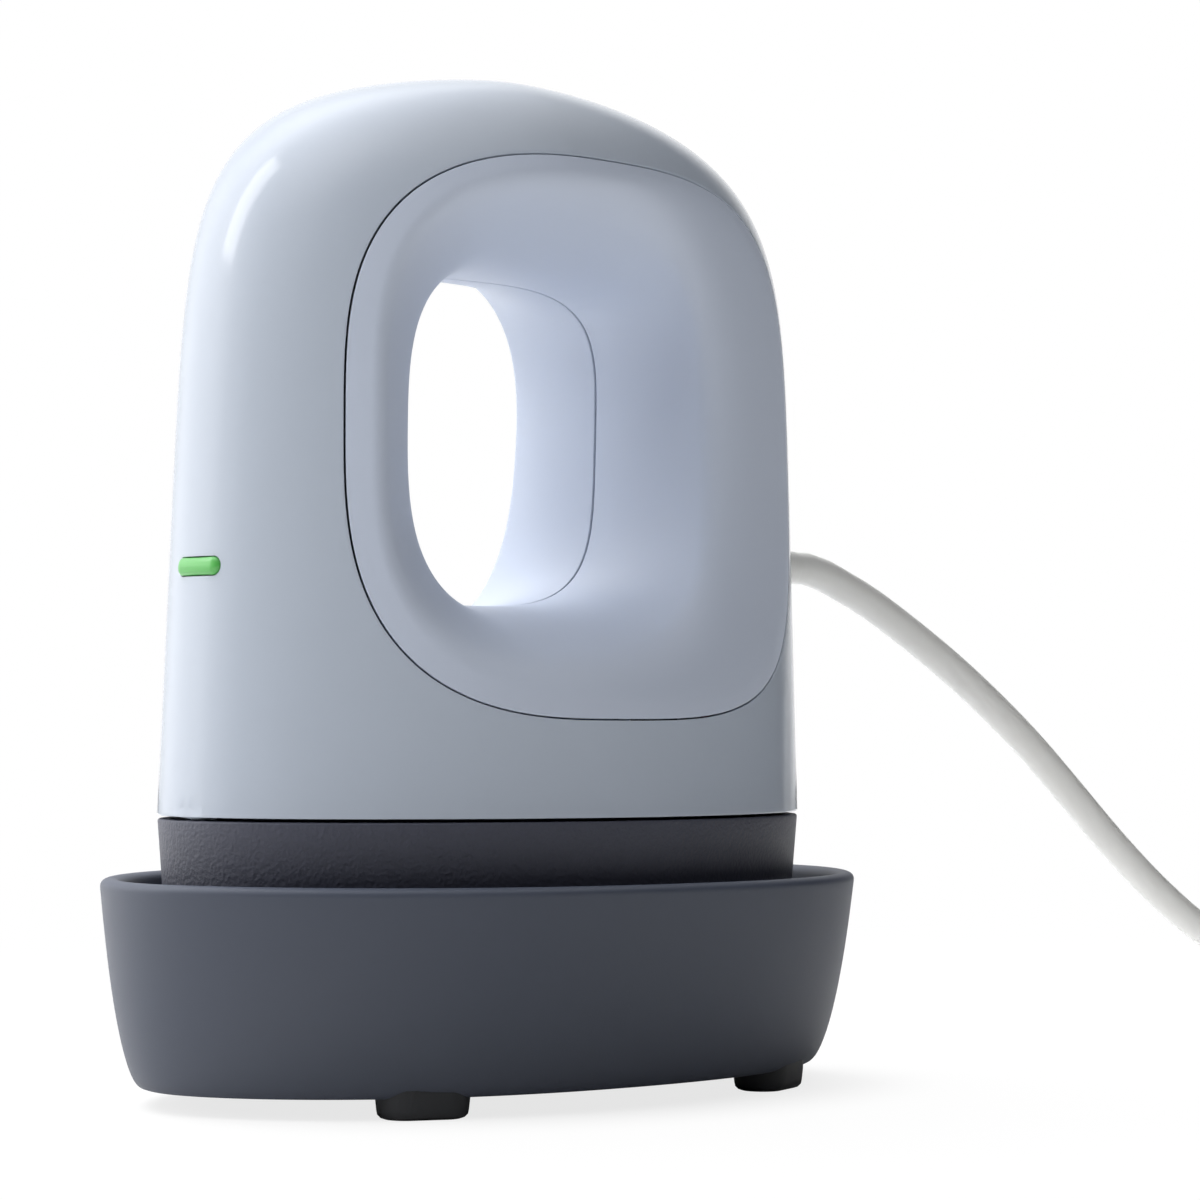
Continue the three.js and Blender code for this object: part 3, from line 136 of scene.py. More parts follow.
def named_group(name, kind, inputs, outputs):
    """An empty node group whose sockets are given as pairs of name and kind."""
    group = bpy.data.node_groups.new(name, kind)
    for way, sockets in (("OUTPUT", outputs), ("INPUT", inputs)):
        for label, socket in sockets:
            group.interface.new_socket(name=label, in_out=way, socket_type="NodeSocket" + socket)
    return group, group.nodes.new("NodeGroupInput"), group.nodes.new("NodeGroupOutput")


print("node helpers ready")

# %% [markdown]
# ## Shader groups
# Moulded plastic is never a flat colour. The tool leaves a grain, and the resin has faint
# clouds in it. Grain and clouds serve most materials here, so they are one node group with
# named inputs. The coarser pits of a spark-eroded tool are a second one. A group gives a
# height and a mask; the material decides what they do.

# %% Shader group for moulded grain
def moulded_grain():
    inputs = [("Place", "Vector"), ("Grains per metre", "Float"), ("Clouds per metre", "Float")]
    outputs = [("Height", "Float"), ("Clouds", "Float")]
    group, start, end = named_group("moulded_grain", "ShaderNodeTree", inputs, outputs)
    place, fineness, clouds = (start.outputs[label] for label, _ in inputs)
    fine = {"Vector": place, "Scale": fineness, "Detail": 3.0, "Roughness": 0.6}
    broad = {"Vector": place, "Scale": clouds, "Detail": 2.0}
    height = output_of(group, "ShaderNodeTexNoise", "Fac", fine)
    mask = output_of(group, "ShaderNodeTexNoise", "Fac", broad)
    feed(group, end, {"Height": height, "Clouds": mask})
    return group


grain_group = moulded_grain()
print("made the shader group", grain_group.name)


# %% Shader group for a spark-eroded tool
def spark_grain():
    inputs = [("Place", "Vector"), ("Pits per metre", "Float")]
    outputs = [("Height", "Float"), ("Pits", "Float")]
    group, start, end = named_group("spark_grain", "ShaderNodeTree", inputs, outputs)
    size = {"Vector": start.outputs["Place"], "Scale": start.outputs["Pits per metre"]}
    rough = {**size, "Detail": 4.0, "Roughness": 0.65}
    wander = output_of(group, "ShaderNodeTexNoise", "Fac", rough)
    pits = add_node(group, "ShaderNodeTexVoronoi", {**size, "Smoothness": 0.6}, feature="SMOOTH_F1")
    height = calculate(group, "MULTIPLY_ADD", pits.outputs["Distance"], 0.55, wander)
    feed(group, end, {"Height": height, "Pits": wander})
    return group


spark_group = spark_grain()
print("made the shader group", spark_group.name)


# %% [markdown]
# ## Finishes
# One short function makes a plastic: the clouds shift its colour and its roughness, and
# the grain raises a bump. Values that are the same all over, such as the coat, sit on
# the shader's own sockets. Grain sizes and depths are in millimetres.

# %% Plastics
def blank_material(name):
    material = bpy.data.materials.new(name)
    material.use_nodes = True
    tree = material.node_tree
    place = output_of(tree, "ShaderNodeTexCoord", "Object")
    return material, tree, tree.nodes["Principled BSDF"], place


def mixed_colour(tree, mask, colour, darker, lighter):
    """The colour, darker by one share where the mask is 0 and lighter by another where it is 1."""
    deep = [c * (1 - darker) for c in colour]
    pale = [min(c * (1 + lighter), 1) for c in colour]
    inputs = {"Factor": mask, "A": (*deep, 1), "B": (*pale, 1)}
    return output_of(tree, "ShaderNodeMix", "Result", inputs, data_type="RGBA")


def spread(tree, mask, low, high):
    """Stretches the middle part of a noise to run from low to high."""
    return map_range(tree, mask, 0.3, 0.7, low, high)


def bump(tree, height, depth):
    inputs = {"Distance": depth * MM, "Height": height}
    return output_of(tree, "ShaderNodeBump", "Normal", inputs)


def grains(tree, place, grain, clouds):
    inputs = {"Place": place, "Grains per metre": 1 / (grain * MM), "Clouds per metre": clouds}
    made = add_node(tree, "ShaderNodeGroup", inputs, node_tree=grain_group)
    return made.outputs["Height"], made.outputs["Clouds"]


def plastic(name, colour, roughness, grain, depth, tone, coat=0.0, clouds=25.0):
    material, tree, shader, place = blank_material(name)
    height, mask = grains(tree, place, grain, clouds)
    surface = {
        "Base Color": mixed_colour(tree, mask, colour, tone, tone),
        "Roughness": spread(tree, mask, roughness * 0.94, roughness * 1.06),
        "Normal": bump(tree, height, depth),
        "Coat Weight": coat,
        "Coat Roughness": 0.06,
    }
    feed(tree, shader, surface)
    return material


shell_gloss = plastic("shell_gloss", (0.42, 0.465, 0.54), 0.13, 1.2, 0.0006, 0.02)
panel_matte = plastic("panel_matte", (0.464, 0.511, 0.609), 0.52, 0.22, 0.003, 0.03)
tray_matte = plastic("tray_matte", (0.042, 0.050, 0.073), 0.55, 0.25, 0.008, 0.05)
foot_rubber = plastic("foot_rubber", (0.017, 0.018, 0.021), 0.62, 0.3, 0.006, 0.1)
pad_silicone = plastic("pad_silicone", (0.16, 0.165, 0.18), 0.7, 0.3, 0.006, 0.08)
cord_vinyl = plastic("cord_vinyl", (0.66, 0.66, 0.645), 0.42, 0.9, 0.0006, 0.03, clouds=60)
green_gloss = plastic("green_gloss", (0.075, 0.38, 0.07), 0.32, 0.8, 0.0008, 0.06, coat=0.3)
fibre_board = plastic("fibre_board", (0.55, 0.53, 0.48), 0.9, 0.5, 0.03, 0.12, clouds=180)
moulded_black = plastic("moulded_black", (0.02, 0.02, 0.023), 0.5, 0.4, 0.006, 0.08)
tie_black = plastic("tie_black", (0.012, 0.012, 0.013), 0.6, 0.35, 0.02, 0.1)
wire_red = plastic("wire_red", (0.42, 0.03, 0.025), 0.45, 0.5, 0.004, 0.04)
wire_blue = plastic("wire_blue", (0.03, 0.09, 0.38), 0.45, 0.5, 0.004, 0.04)
wire_white = plastic("wire_white", (0.62, 0.61, 0.57), 0.5, 0.5, 0.004, 0.04)
relay_blue = plastic("relay_blue", (0.03, 0.11, 0.34), 0.45, 0.5, 0.004, 0.04)
print("plastics:", len(bpy.data.materials))


# %% Spark-textured plastic for the skirt
def spark_plastic(name, colour, roughness, pit, depth):
    material, tree, shader, place = blank_material(name)
    inputs = {"Place": place, "Pits per metre": 1 / (pit * MM)}
    pits = add_node(tree, "ShaderNodeGroup", inputs, node_tree=spark_group)
    mask = pits.outputs["Pits"]
    surface = {
        "Base Color": mixed_colour(tree, mask, colour, 0.18, 0.15),
        "Roughness": spread(tree, mask, roughness, roughness * 1.15),
        "Normal": bump(tree, pits.outputs["Height"], depth),
    }
    feed(tree, shader, surface)
    return material


skirt_spark = spark_plastic("skirt_spark", (0.043, 0.046, 0.067), 0.5, 0.5, 0.11)
print("made", skirt_spark.name)


# %% [markdown]
# ## Metals and boards
# The cast plate is blasted, so its grain runs no way at all. Bent tube, screws and shield
# are drawn or rolled: a noise stretched along one axis gives them fine lines.

# %% Metals and boards
def metal(name, colour, roughness, grain, stretch, depth=0.003):
    material, tree, shader, place = blank_material(name)
    stretched = {"Vector": place, "Scale": stretch}
    lines = output_of(tree, "ShaderNodeMapping", "Vector", stretched)
    height, mask = grains(tree, lines, grain, clouds=40)
    surface = {
        "Base Color": mixed_colour(tree, mask, colour, 0.08, 0.06),
        "Roughness": spread(tree, height, roughness * 0.85, roughness * 1.2),
        "Normal": bump(tree, height, depth),
        "Metallic": 1,
    }
    feed(tree, shader, surface)
    return material


def circuit_board(name):
    material, tree, shader, place = blank_material(name)
    inputs = {"Vector": place, "Scale": 120, "Mortar Size": 0.03}
    inputs["Color1"] = (0.012, 0.10, 0.035, 1)
    inputs["Color2"] = (0.014, 0.12, 0.045, 1)
    inputs["Mortar"] = (0.05, 0.22, 0.08, 1)
    tracks = output_of(tree, "ShaderNodeTexBrick", "Color", inputs)
    feed(tree, shader, {"Base Color": tracks, "Roughness": 0.35})
    return material


cast_aluminium = metal("cast_aluminium", (0.66, 0.67, 0.68), 0.42, 0.35, (1, 1, 1), 0.01)
rolled_steel = metal("rolled_steel", (0.52, 0.53, 0.54), 0.3, 0.3, (1, 1, 0.05))
blade_brass = metal("blade_brass", (0.74, 0.58, 0.30), 0.28, 0.3, (0.05, 1, 1))
board_green = circuit_board("board_green")
print("materials in all:", len(bpy.data.materials))


# %% [markdown]
# ## From points to pieces
# Most pieces here are lofts: a stack of closed outlines, each a little larger or smaller
# than the last. The helpers below turn such a stack into a mesh, finish its edges with a
# small bevel as a mould does, and bake the modifiers, so that what is kept is plain mesh.

# %% Helpers that make meshes
crease_angle = 50


def add_object(name, points, faces, edges=()):
    mesh = bpy.data.meshes.new(name)
    mesh.from_pydata([Vector(p) * MM for p in points], edges, faces)
    piece = bpy.data.objects.new(name, mesh)
    bpy.context.collection.objects.link(piece)
    return piece


def grid_faces(ring_count, ring_size, wrap_rings=False):
    faces = []
    for k in range(ring_count if wrap_rings else ring_count - 1):
        low, high = k * ring_size, (k + 1) % ring_count * ring_size
        for i in range(ring_size):
            j = (i + 1) % ring_size
            faces.append((low + i, low + j, high + j, high + i))
    return faces


def loft(name, rings):
    """A closed solid through the rings, with a flat cap at each end."""
    size = len(rings[0])
    faces = grid_faces(len(rings), size)
    faces.append(tuple(reversed(range(size))))
    faces.append(tuple(range((len(rings) - 1) * size, len(rings) * size)))
    return add_object(name, [p for ring in rings for p in ring], faces)


def closed_loft(name, rings):
    """A solid whose last ring meets the first again, as in a tyre."""
    faces = grid_faces(len(rings), len(rings[0]), wrap_rings=True)
    return add_object(name, [p for ring in rings for p in ring], faces)


def around(count):
    """Cosine and sine of even angles round a full circle."""
    turns = [2 * math.pi * i / count for i in range(count)]
    return [(math.cos(a), math.sin(a)) for a in turns]


def oval_reach(c, s, power):
    """How far out an oval of size one lies; a power above 2 makes it squarer."""
    return (abs(c) ** power + abs(s) ** power) ** (-1 / power)


def face_outwards(piece, join_within=1e-7):
    work = bmesh.new()
    work.from_mesh(piece.data)
    bmesh.ops.remove_doubles(work, verts=work.verts, dist=join_within)
    bmesh.ops.recalc_face_normals(work, faces=work.faces)
    work.to_mesh(piece.data)
    work.free()


def give_wall(piece, thickness):
    """The wall grows inwards from the surface."""
    wall = piece.modifiers.new("wall", "SOLIDIFY")
    wall.thickness = thickness * MM
    wall.offset = -1
    wall.use_quality_normals = True


def round_edges(piece, width, segments, sharp):
    rounding = piece.modifiers.new("rounding", "BEVEL")
    rounding.width = width * MM
    rounding.segments = segments
    rounding.limit_method = "ANGLE"
    rounding.angle_limit = math.radians(sharp)


def bake(piece):
    """Replaces the object's mesh by what its modifiers make of it."""
    view = bpy.context.evaluated_depsgraph_get()
    made = bpy.data.meshes.new_from_object(piece.evaluated_get(view))
    piece.modifiers.clear()
    piece.data = made


def finish(piece, material, body, bevel=0, segments=3, sharp=35, stands_for=()):
    """Rounds the edges, bakes, shades, paints and hands the piece to a body."""
    face_outwards(piece)
    if bevel:
        round_edges(piece, bevel, segments, sharp)
    bake(piece)
    for polygon in piece.data.polygons:
        polygon.use_smooth = True
    piece.data.set_sharp_from_angle(angle=math.radians(crease_angle))
    piece.data.materials.clear()
    piece.data.materials.append(material)
    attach(piece, body)
    if stands_for:
        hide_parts(*stands_for)
    print(piece.name, len(piece.data.polygons), "faces")
    return piece


# %% [markdown]
# ## Geometry Nodes helper
# What repeats, such as feet, pads and ribs, and what follows a path, such as the cord, is
# made by a node tree. Each tree takes its sizes as named inputs. The helpers begin and
# end a tree, sweep a tube, and set inputs by their identifiers before the tree first runs.

# %% Geometry Nodes helper
def geometry_tree(name, inputs):
    shape = [("Geometry", "Geometry")]
    return named_group(name, "GeometryNodeTree", shape + inputs, shape)


def end_tree(tree, last, end, material):
    """Every tree ends in real geometry with its material set."""
    real = output_of(tree, "GeometryNodeRealizeInstances", "Geometry", {"Geometry": last})
    inputs = {"Geometry": real, "Material": material}
    painted = output_of(tree, "GeometryNodeSetMaterial", "Geometry", inputs)
    feed(tree, end, {"Geometry": painted})


def add_tube(tree, curve, radius, sides):
    """A round tube along a curve, closed at both ends."""
    size = {"Radius": radius, "Resolution": sides}
    circle = output_of(tree, "GeometryNodeCurvePrimitiveCircle", "Curve", size)
    inputs = {"Curve": curve, "Profile Curve": circle, "Fill Caps": True}
    return output_of(tree, "GeometryNodeCurveToMesh", "Mesh", inputs)


def run_tree(piece, tree, values):
    modifier = piece.modifiers.new("nodes", "NODES")
    modifier.node_group = tree
    for item in tree.interface.items_tree:
        if item.in_out == "INPUT" and item.name in values:
            modifier[item.identifier] = values[item.name]
    bake(piece)


# %% [markdown]
# ## The cord
# A round vinyl mains cord, 4.2 mm thick and about 1.8 m long. It leaves the back of the
# press through a short strain relief, drops to the table in the curve of the photograph,
# and the rest is wound into a neat coil with the plug beside it. The route is a list of
# chosen points; the coil follows a rule, layer on layer. A node tree sweeps a circle
# along the path, because that keeps the thickness the same in every bend.

# %% Cord sizes and route
cord_thick = 4.2
cord_exit_height = 64.7
relief_tip = 51.25
coil_x = 190
coil_mean_radius = 24.8
coil_layers = 4
coil_turns_per_layer = 2.25
coil_turns_between = 0.5
coil_points_per_turn = 32
coil_pitch = 5.0
coil_layer_rise = 4.9
coil_bulge = 0.9
coil_floor = 3.4
coil_half_span = coil_turns_per_layer * coil_pitch / 2
coil_outer_radius = coil_mean_radius + coil_half_span
coil_y = -coil_outer_radius
tail_length = 54
tail_level = 0.3
tail_steps = 18
straight_to_plug = cord_thick + 0.3
cord_in_plug = 2.7
plug_height = 6.6
route_step = 2.5

cord_drop = [
    (53.75, 64.65), (57.0, 63.9), (61.5, 62.2), (65.9, 60.4), (73.6, 56.5), (81.5, 52.1),
    (89.5, 47.1), (97.7, 41.4), (106.1, 34.8), (114.6, 28.0), (123.3, 21.7), (132.2, 16.2),
    (141.5, 11.6), (151.0, 7.9), (160.5, 5.1), (169.5, 3.7), (178.0, 3.4),
]
cord_route = [(x, 0, cord_exit_height) for x in (relief_tip - 5, relief_tip)]
cord_route += [(x, 0, z) for x, z in cord_drop]
cord_route.append((coil_x - cord_thick, 0, coil_floor))
print("route points:", len(cord_route))


# %% Coil by rule
def soft_step(w):
    """From 0 to 1 with a soft start and a soft end."""
    return w * w * (3 - 2 * w)


def coil_place(turn):
    """Radius and height of the cord's centre after so many turns."""
    left = turn
    for layer in range(coil_layers):
        outwards = 1 if layer % 2 else -1
        if left <= coil_turns_per_layer or layer == coil_layers - 1:
            radius = coil_mean_radius - outwards * (coil_half_span - coil_pitch * left)
            return radius, layer * coil_layer_rise
        left -= coil_turns_per_layer
        if left <= coil_turns_between:
            w = left / coil_turns_between
            edge = coil_half_span + coil_bulge * math.sin(math.pi * w)
            return coil_mean_radius + outwards * edge, (layer + soft_step(w)) * coil_layer_rise
        left -= coil_turns_between


def coil_points():
    turns = coil_layers * coil_turns_per_layer + (coil_layers - 1) * coil_turns_between
    count = round(turns * coil_points_per_turn)
    points = []
    for i in range(count + 1):
        turn = i / count * turns
        radius, height = coil_place(turn)
        angle = math.pi / 2 - turn * 2 * math.pi
        x = coil_x + radius * math.cos(angle)
        y = coil_y + radius * math.sin(angle)
        points.append((x, y, coil_floor + height))
    return points


def tail_points(start):
    """The loose end runs straight on, sinks to the plug's height and enters the plug."""
    x, y, height = start
    points = []
    for i in range(1, tail_steps + 1):
        w = i / tail_steps
        drop = soft_step(max((w - tail_level) / (1 - tail_level), 0))
        points.append((x - w * tail_length, y, height + (plug_height - height) * drop))
    points.append((x - tail_length - straight_to_plug - cord_in_plug, y, plug_height))
    return points


def smooth_route(points):
    """Catmull-Rom curve through the points, in nearly even steps up to the last one."""
    made = []
    padded = [Vector(p) for p in (points[0], *points, points[-1])]
    for before, a, b, after in zip(padded, padded[1:], padded[2:], padded[3:]):
        steps = max(round((b - a).length / route_step), 1)
        for k in range(steps):
            t = k / steps
            place = (
                a * 2
                + (b - before) * t
                + (before * 2 - a * 5 + b * 4 - after) * t**2
                + (a * 3 - before - b * 3 + after) * t**3
            ) / 2
            made.append(tuple(place))
    return made


wound = coil_points()
cord_path = smooth_route(cord_route) + wound + tail_points(wound[-1])


# %% Sweep the cord with a node tree
def sweep_tree(material):
    tree, start, end = geometry_tree("sweep_along_path", [("Thickness", "Float"), ("Sides", "Int")])
    path = {"Mesh": start.outputs["Geometry"]}
    curve = output_of(tree, "GeometryNodeMeshToCurve", "Curve", path)
    radius = calculate(tree, "DIVIDE", start.outputs["Thickness"], 2)
    tube = {"Geometry": add_tube(tree, curve, radius, start.outputs["Sides"])}
    smooth = output_of(tree, "GeometryNodeSetShadeSmooth", "Geometry", tube)
    end_tree(tree, smooth, end, material)
    return tree


cord_edges = [(i, i + 1) for i in range(len(cord_path) - 1)]
cord = add_object("mains_cord", cord_path, [], cord_edges)
run_tree(cord, sweep_tree(cord_vinyl), {"Thickness": cord_thick * MM, "Sides": 20})
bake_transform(cord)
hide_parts("cord_tube", "cord_coil")
print("mains_cord", len(cord.data.polygons), "faces")

# %% [markdown]
# ## The plug and the tie
# The cord leaves the photograph before its plug, so the plug is a plain flat two-pin one:
# a moulded body with a soft neck and shallow grip ribs. The ribs repeat, so they come
# from a node tree that places one rib along the body. A strap holds the coil together.

# %% Plug body
plug_neck = 9
plug_length = 27
plug_squareness = 3.2
blade_spacing = 12.7
plug_start = wound[-1][0] - tail_length - straight_to_plug
plug_y = wound[-1][1]
plug_face = plug_start - plug_neck - plug_length

# how far along the plug, half its width and half its height there
plug_outline = [
    (0.0, 2.6, 2.6), (0.8, 3.2, 3.2), (4.0, 3.5, 3.4), (7.5, 4.2, 3.9),
    (9.5, 5.6, 4.7), (11.5, 7.3, 5.5), (14.0, 8.4, 6.0), (18.0, 8.8, 6.3),
    (26.0, 9.0, 6.4), (35.4, 9.0, 6.4), (36.0, 8.5, 5.9),
]


def plug_section(along, half_width, half_height):
    points = []
    for c, s in around(64):
        reach = oval_reach(c, s, plug_squareness)
        y, z = plug_y + half_width * reach * c, plug_height + half_height * reach * s
        points.append((plug_start - along, y, z))
    return points


plug = loft("plug_moulding", [plug_section(*row) for row in plug_outline])
finish(plug, cord_vinyl, "base", stands_for=["plug_body"])



# %% Grip ribs on the plug
def rib_tree(material):
    inputs = [("Count", "Int"), ("Spacing", "Vector"), ("Length", "Float"), ("Radius", "Float")]
    tree, start, end = geometry_tree("row_of_ribs", inputs)
    count, spacing, length, radius = (start.outputs[label] for label, _ in inputs)
    upwards = {"Direction": (0, 0, 1), "Length": length}
    rod = add_node(tree, "GeometryNodeCurvePrimitiveLine", upwards, mode="DIRECTION")
    half_down = {"Z": calculate(tree, "MULTIPLY", length, -0.5)}
    lift = output_of(tree, "ShaderNodeCombineXYZ", "Vector", half_down)
    centred = {"Geometry": rod.outputs["Curve"], "Translation": lift}
    spine = output_of(tree, "GeometryNodeTransform", "Geometry", centred)
    where = output_of(tree, "GeometryNodeInputPosition", "Position")
    anchor = {"Geometry": start.outputs["Geometry"], "Value": where}
    first = add_node(tree, "GeometryNodeSampleIndex", anchor, data_type="FLOAT_VECTOR")
    row = {"Count": count, "Offset": spacing}
    line = output_of(tree, "GeometryNodeMeshLine", "Mesh", row)
    moved = {"Geometry": line, "Offset": first.outputs["Value"]}
    places = output_of(tree, "GeometryNodeSetPosition", "Geometry", moved)
    copies = {"Points": places, "Instance": add_tube(tree, spine, radius, 12)}
    put = output_of(tree, "GeometryNodeInstanceOnPoints", "Instances", copies)
    end_tree(tree, put, end, material)
    return tree


rib_run = 20
rib_reach = 8.75
ribs = rib_tree(cord_vinyl)
for side, label in ((-1, "near"), (1, "far")):
    place = (plug_start - rib_run, plug_y + side * rib_reach, plug_height)
    anchor = add_object("plug_ribs_" + label, [place], [])
    sizes = {"Count": 6, "Spacing": (-2 * MM, 0, 0), "Length": 7 * MM, "Radius": 0.5 * MM}
    run_tree(anchor, ribs, sizes)
    finish(anchor, cord_vinyl, "base")


# %% Plug blades
blade_root = 4.7
blade_reach = 17
blade_half_height = 3.15
blade_half_thick = 0.75
blade_corner = 1.5


def blade(name, side, node):
    y = plug_y + side * blade_spacing / 2
    root, tip, half = plug_face + blade_root, plug_face - blade_reach, blade_half_height
    outline = [(root, -half), (root, half)]
    outline += [(tip + blade_corner, half), (tip, half - blade_corner)]
    outline += [(tip, -half + blade_corner), (tip + blade_corner, -half)]
    rings = []
    for face in (-1, 1):
        rings.append([(x, y + face * blade_half_thick, plug_height + z) for x, z in outline])
    piece = loft(name, rings)
    return finish(piece, blade_brass, "base", bevel=0.25, stands_for=[node])


near_blade = blade("blade_near", -1, "plug_blade_near")
far_blade = blade("blade_far", 1, "plug_blade_far")


# %% Tie round the coil
strap_thick = 1.0
strap_half_width = 3
strap_corner = 2
strap_underside = 1
strap_gap_beside = 0.4
strap_gap_above = 0.3


def rounded_loop(x0, x1, z0, z1, radius, y, steps=8):
    left, right, low, high = x0 + radius, x1 - radius, z0 + radius, z1 - radius
    corners = ((right, low, -90), (right, high, 0), (left, high, 90), (left, low, 180))
    points = []
    for cx, cz, first in corners:
        for i in range(steps + 1):
            angle = math.radians(first + 90 * i / steps)
            points.append((cx + radius * math.cos(angle), y, cz + radius * math.sin(angle)))
    return points


def coil_strap():
    clear = cord_thick / 2 + coil_bulge + strap_gap_beside
    low = coil_x + coil_mean_radius - coil_half_span - clear
    high = coil_x + coil_mean_radius + coil_half_span + clear
    top = coil_floor + (coil_layers - 1) * coil_layer_rise + cord_thick / 2 + strap_gap_above
    rings = []
    for way, grow in ((-1, strap_thick), (1, strap_thick), (1, 0.0), (-1, 0.0)):
        sides = (low - grow, high + grow, strap_underside - grow, top + grow)
        rings.append(rounded_loop(*sides, strap_corner + grow, coil_y + way * strap_half_width))
    return closed_loft("coil_strap", rings)


strap = finish(coil_strap(), tie_black, "base", bevel=0.25, stands_for=["cord_tie"])

# %% [markdown]
# ## The body's form
# Seen from above, the body is a long oval that is fuller than an ellipse at the sides
# and slimmer at the ends. It leans forward as it rises and closes in a broad crown. All
# of that is one rule: at each height, an oval with its own front, rear and side reach.
# A plain power rule has a faint kink on its axes, which gloss would show, so the power
# is softened near zero.

# %% The body's form by rule
joint_height = 33.5
body_rise = 87.2
body_half_length = 45
body_half_width = 28.1
ridge_lean, front_lean, rear_lean, side_lean = -0.083, -0.128, 0.075, -0.047
crown_powers_long = 8.84, 2.3
crown_powers_wide = 10.8, 3.75
end_power = 1.75
side_power = 2.06
soften = 0.18


def lifted(share, power):
    return (share**2 + soften**2) ** (power / 2) - soften**power


def softened(share, power):
    return lifted(share, power) / lifted(1, power)


def unsoftened(value, power):
    squared = (value * lifted(1, power) + soften**power) ** (2 / power) - soften**2
    return math.sqrt(max(squared, 0))


def crowned(share, powers):
    """What the crown leaves of a reach at a share of the height."""
    height_power, reach_power = powers
    return (1 - share**height_power) ** (1 / reach_power)


def body_size(z):
    """Ridge line, front reach, rear reach and side reach at a height."""
    rise = z - joint_height
    share = min(max(rise / body_rise, 0), 1)
    front = (body_half_length + front_lean * rise) * crowned(share, crown_powers_long)
    rear = (body_half_length + rear_lean * rise) * crowned(share, crown_powers_long)
    side = (body_half_width + side_lean * rise) * crowned(share, crown_powers_wide)
    return ridge_lean * rise, front, rear, side


def body_side(x, z):
    """How far the body reaches sideways at a place in the side view."""
    ridge, front, rear, side = body_size(z)
    reach = front if x < ridge else rear
    if reach <= 0:
        return 0.0
    along = min(abs(x - ridge) / reach, 1)
    return side * unsoftened(1 - softened(along, end_power), side_power)


def inside_outline(x, z):
    if z >= joint_height + body_rise:
        return False
    ridge, front, rear, _ = body_size(z)
    return -front < x - ridge < rear


print("body half width at mid height:", round(body_side(0, 75), 2))

# %% [markdown]
# ## The shell
# The glossy hood has a large rounded window on each side. A grid that starts at the
# window's edge and runs out to the body's outline keeps that edge perfectly clean, which
# a boolean cut on a dense mesh would not. Its columns stand closer at the two lower
# corners, where the surface turns most. The two halves meet along the body's ridge.
# Solidify gives the wall, and a bevel rounds its edges as the mould does.

# %% Outlines of the panel, its crest and the handle opening
panel_gap = 0.19
panel_lean = 0.022
border = dict(
    x=-3.0, z=78.9, front=31.5, rear=40.1, high=31.3, low=34.05, front_power=3.12, rear_power=3.3
)
crest = dict(
    x=-3.0, z=78.9, front=28.0, rear=23.3, high=28.1, low=29.1, front_power=3.3, rear_power=2.45
)
throat = dict(
    x=-7.3, z=79.4, front=8.8, rear=24.1, high=18.4, low=21.0, front_power=2.7, rear_power=4.05
)
even_columns = 360
corner_columns = 10
corner_reach = 4.0


def outline_point(outline, angle, grow=0.0):
    """A point of a rounded outline whose front, rear, upper and lower halves differ."""
    c, s = math.cos(angle), math.sin(angle)
    end = "front" if c < 0 else "rear"
    height = outline["low" if s < 0 else "high"]
    reach = oval_reach(c, s, outline[end + "_power"])
    z = (height + grow) * reach * s
    x = (outline[end] + grow) * reach * c + panel_lean * z
    return outline["x"] + x, outline["z"] + z


def column_angles():
    """Even angles, and closer ones that follow the body round its two lower corners."""
    step = 2 * math.pi / even_columns
    made = [step * i for i in range(even_columns)]
    drop = joint_height - border["z"]
    tall = drop / (border["low"] + panel_gap)
    for end, way in (("front", -1), ("rear", 1)):
        pointed = []
        for i in range(corner_columns + 1):
            corner = way * (body_half_length - corner_reach * (i / corner_columns) ** 2)
            wide = (corner - border["x"] - panel_lean * drop) / (border[end] + panel_gap)
            pointed.append(math.atan2(tall, wide) % (2 * math.pi))
        first, last = min(pointed) - step / 3, max(pointed) + step / 3
        made = [angle for angle in made if not first < angle < last] + pointed
    return sorted(made)


angles = column_angles()
columns = len(angles)
print("columns round the window:", columns)


# %% Shell surface
hood_rows = 64
least_crowding, top_crowding = 2, 1.6
joint_step = 0.25
joint_tolerance = 0.01
near_ridge = 0.6
farthest = 120.0
halvings = 48


def reach_outline(x0, z0, dx, dz):
    """How far along a ray from the window the body's outline or joint lies, by halving."""
    low, high = 0.0, farthest
    for _ in range(halvings):
        middle = (low + high) / 2
        x, z = x0 + dx * middle, z0 + dz * middle
        if z > joint_height and inside_outline(x, z):
            low = middle
        else:
            high = middle
    return low


def shell_column(angle):
    """Points from the window to the outline, closer together where the surface turns away."""
    x0, z0 = outline_point(border, angle, panel_gap)
    dx, dz = x0 - border["x"], z0 - border["z"]
    far = math.hypot(dx, dz)
    dx, dz = dx / far, dz / far
    reach = reach_outline(x0, z0, dx, dz)
    crowding = least_crowding + top_crowding * max(math.sin(angle), 0) ** 4
    ends_at_joint = z0 + dz * reach < joint_height + joint_tolerance
    last_step = joint_step / (reach * -dz) if ends_at_joint else 0.0
    column = []
    for k in range(hood_rows + 1):
        t = 1 - (1 - k / hood_rows) ** crowding
        if k < hood_rows:
            t = min(t, 1 - last_step)
        x, z = x0 + dx * reach * t, z0 + dz * reach * t
        column.append((x, body_side(x, z), z))
    x, y, z = column[-1]
    if z > joint_height + joint_tolerance or y < near_ridge:
        column[-1] = (x, 0.0, z)
    else:
        column[-1] = (x, y, joint_height)
    return column


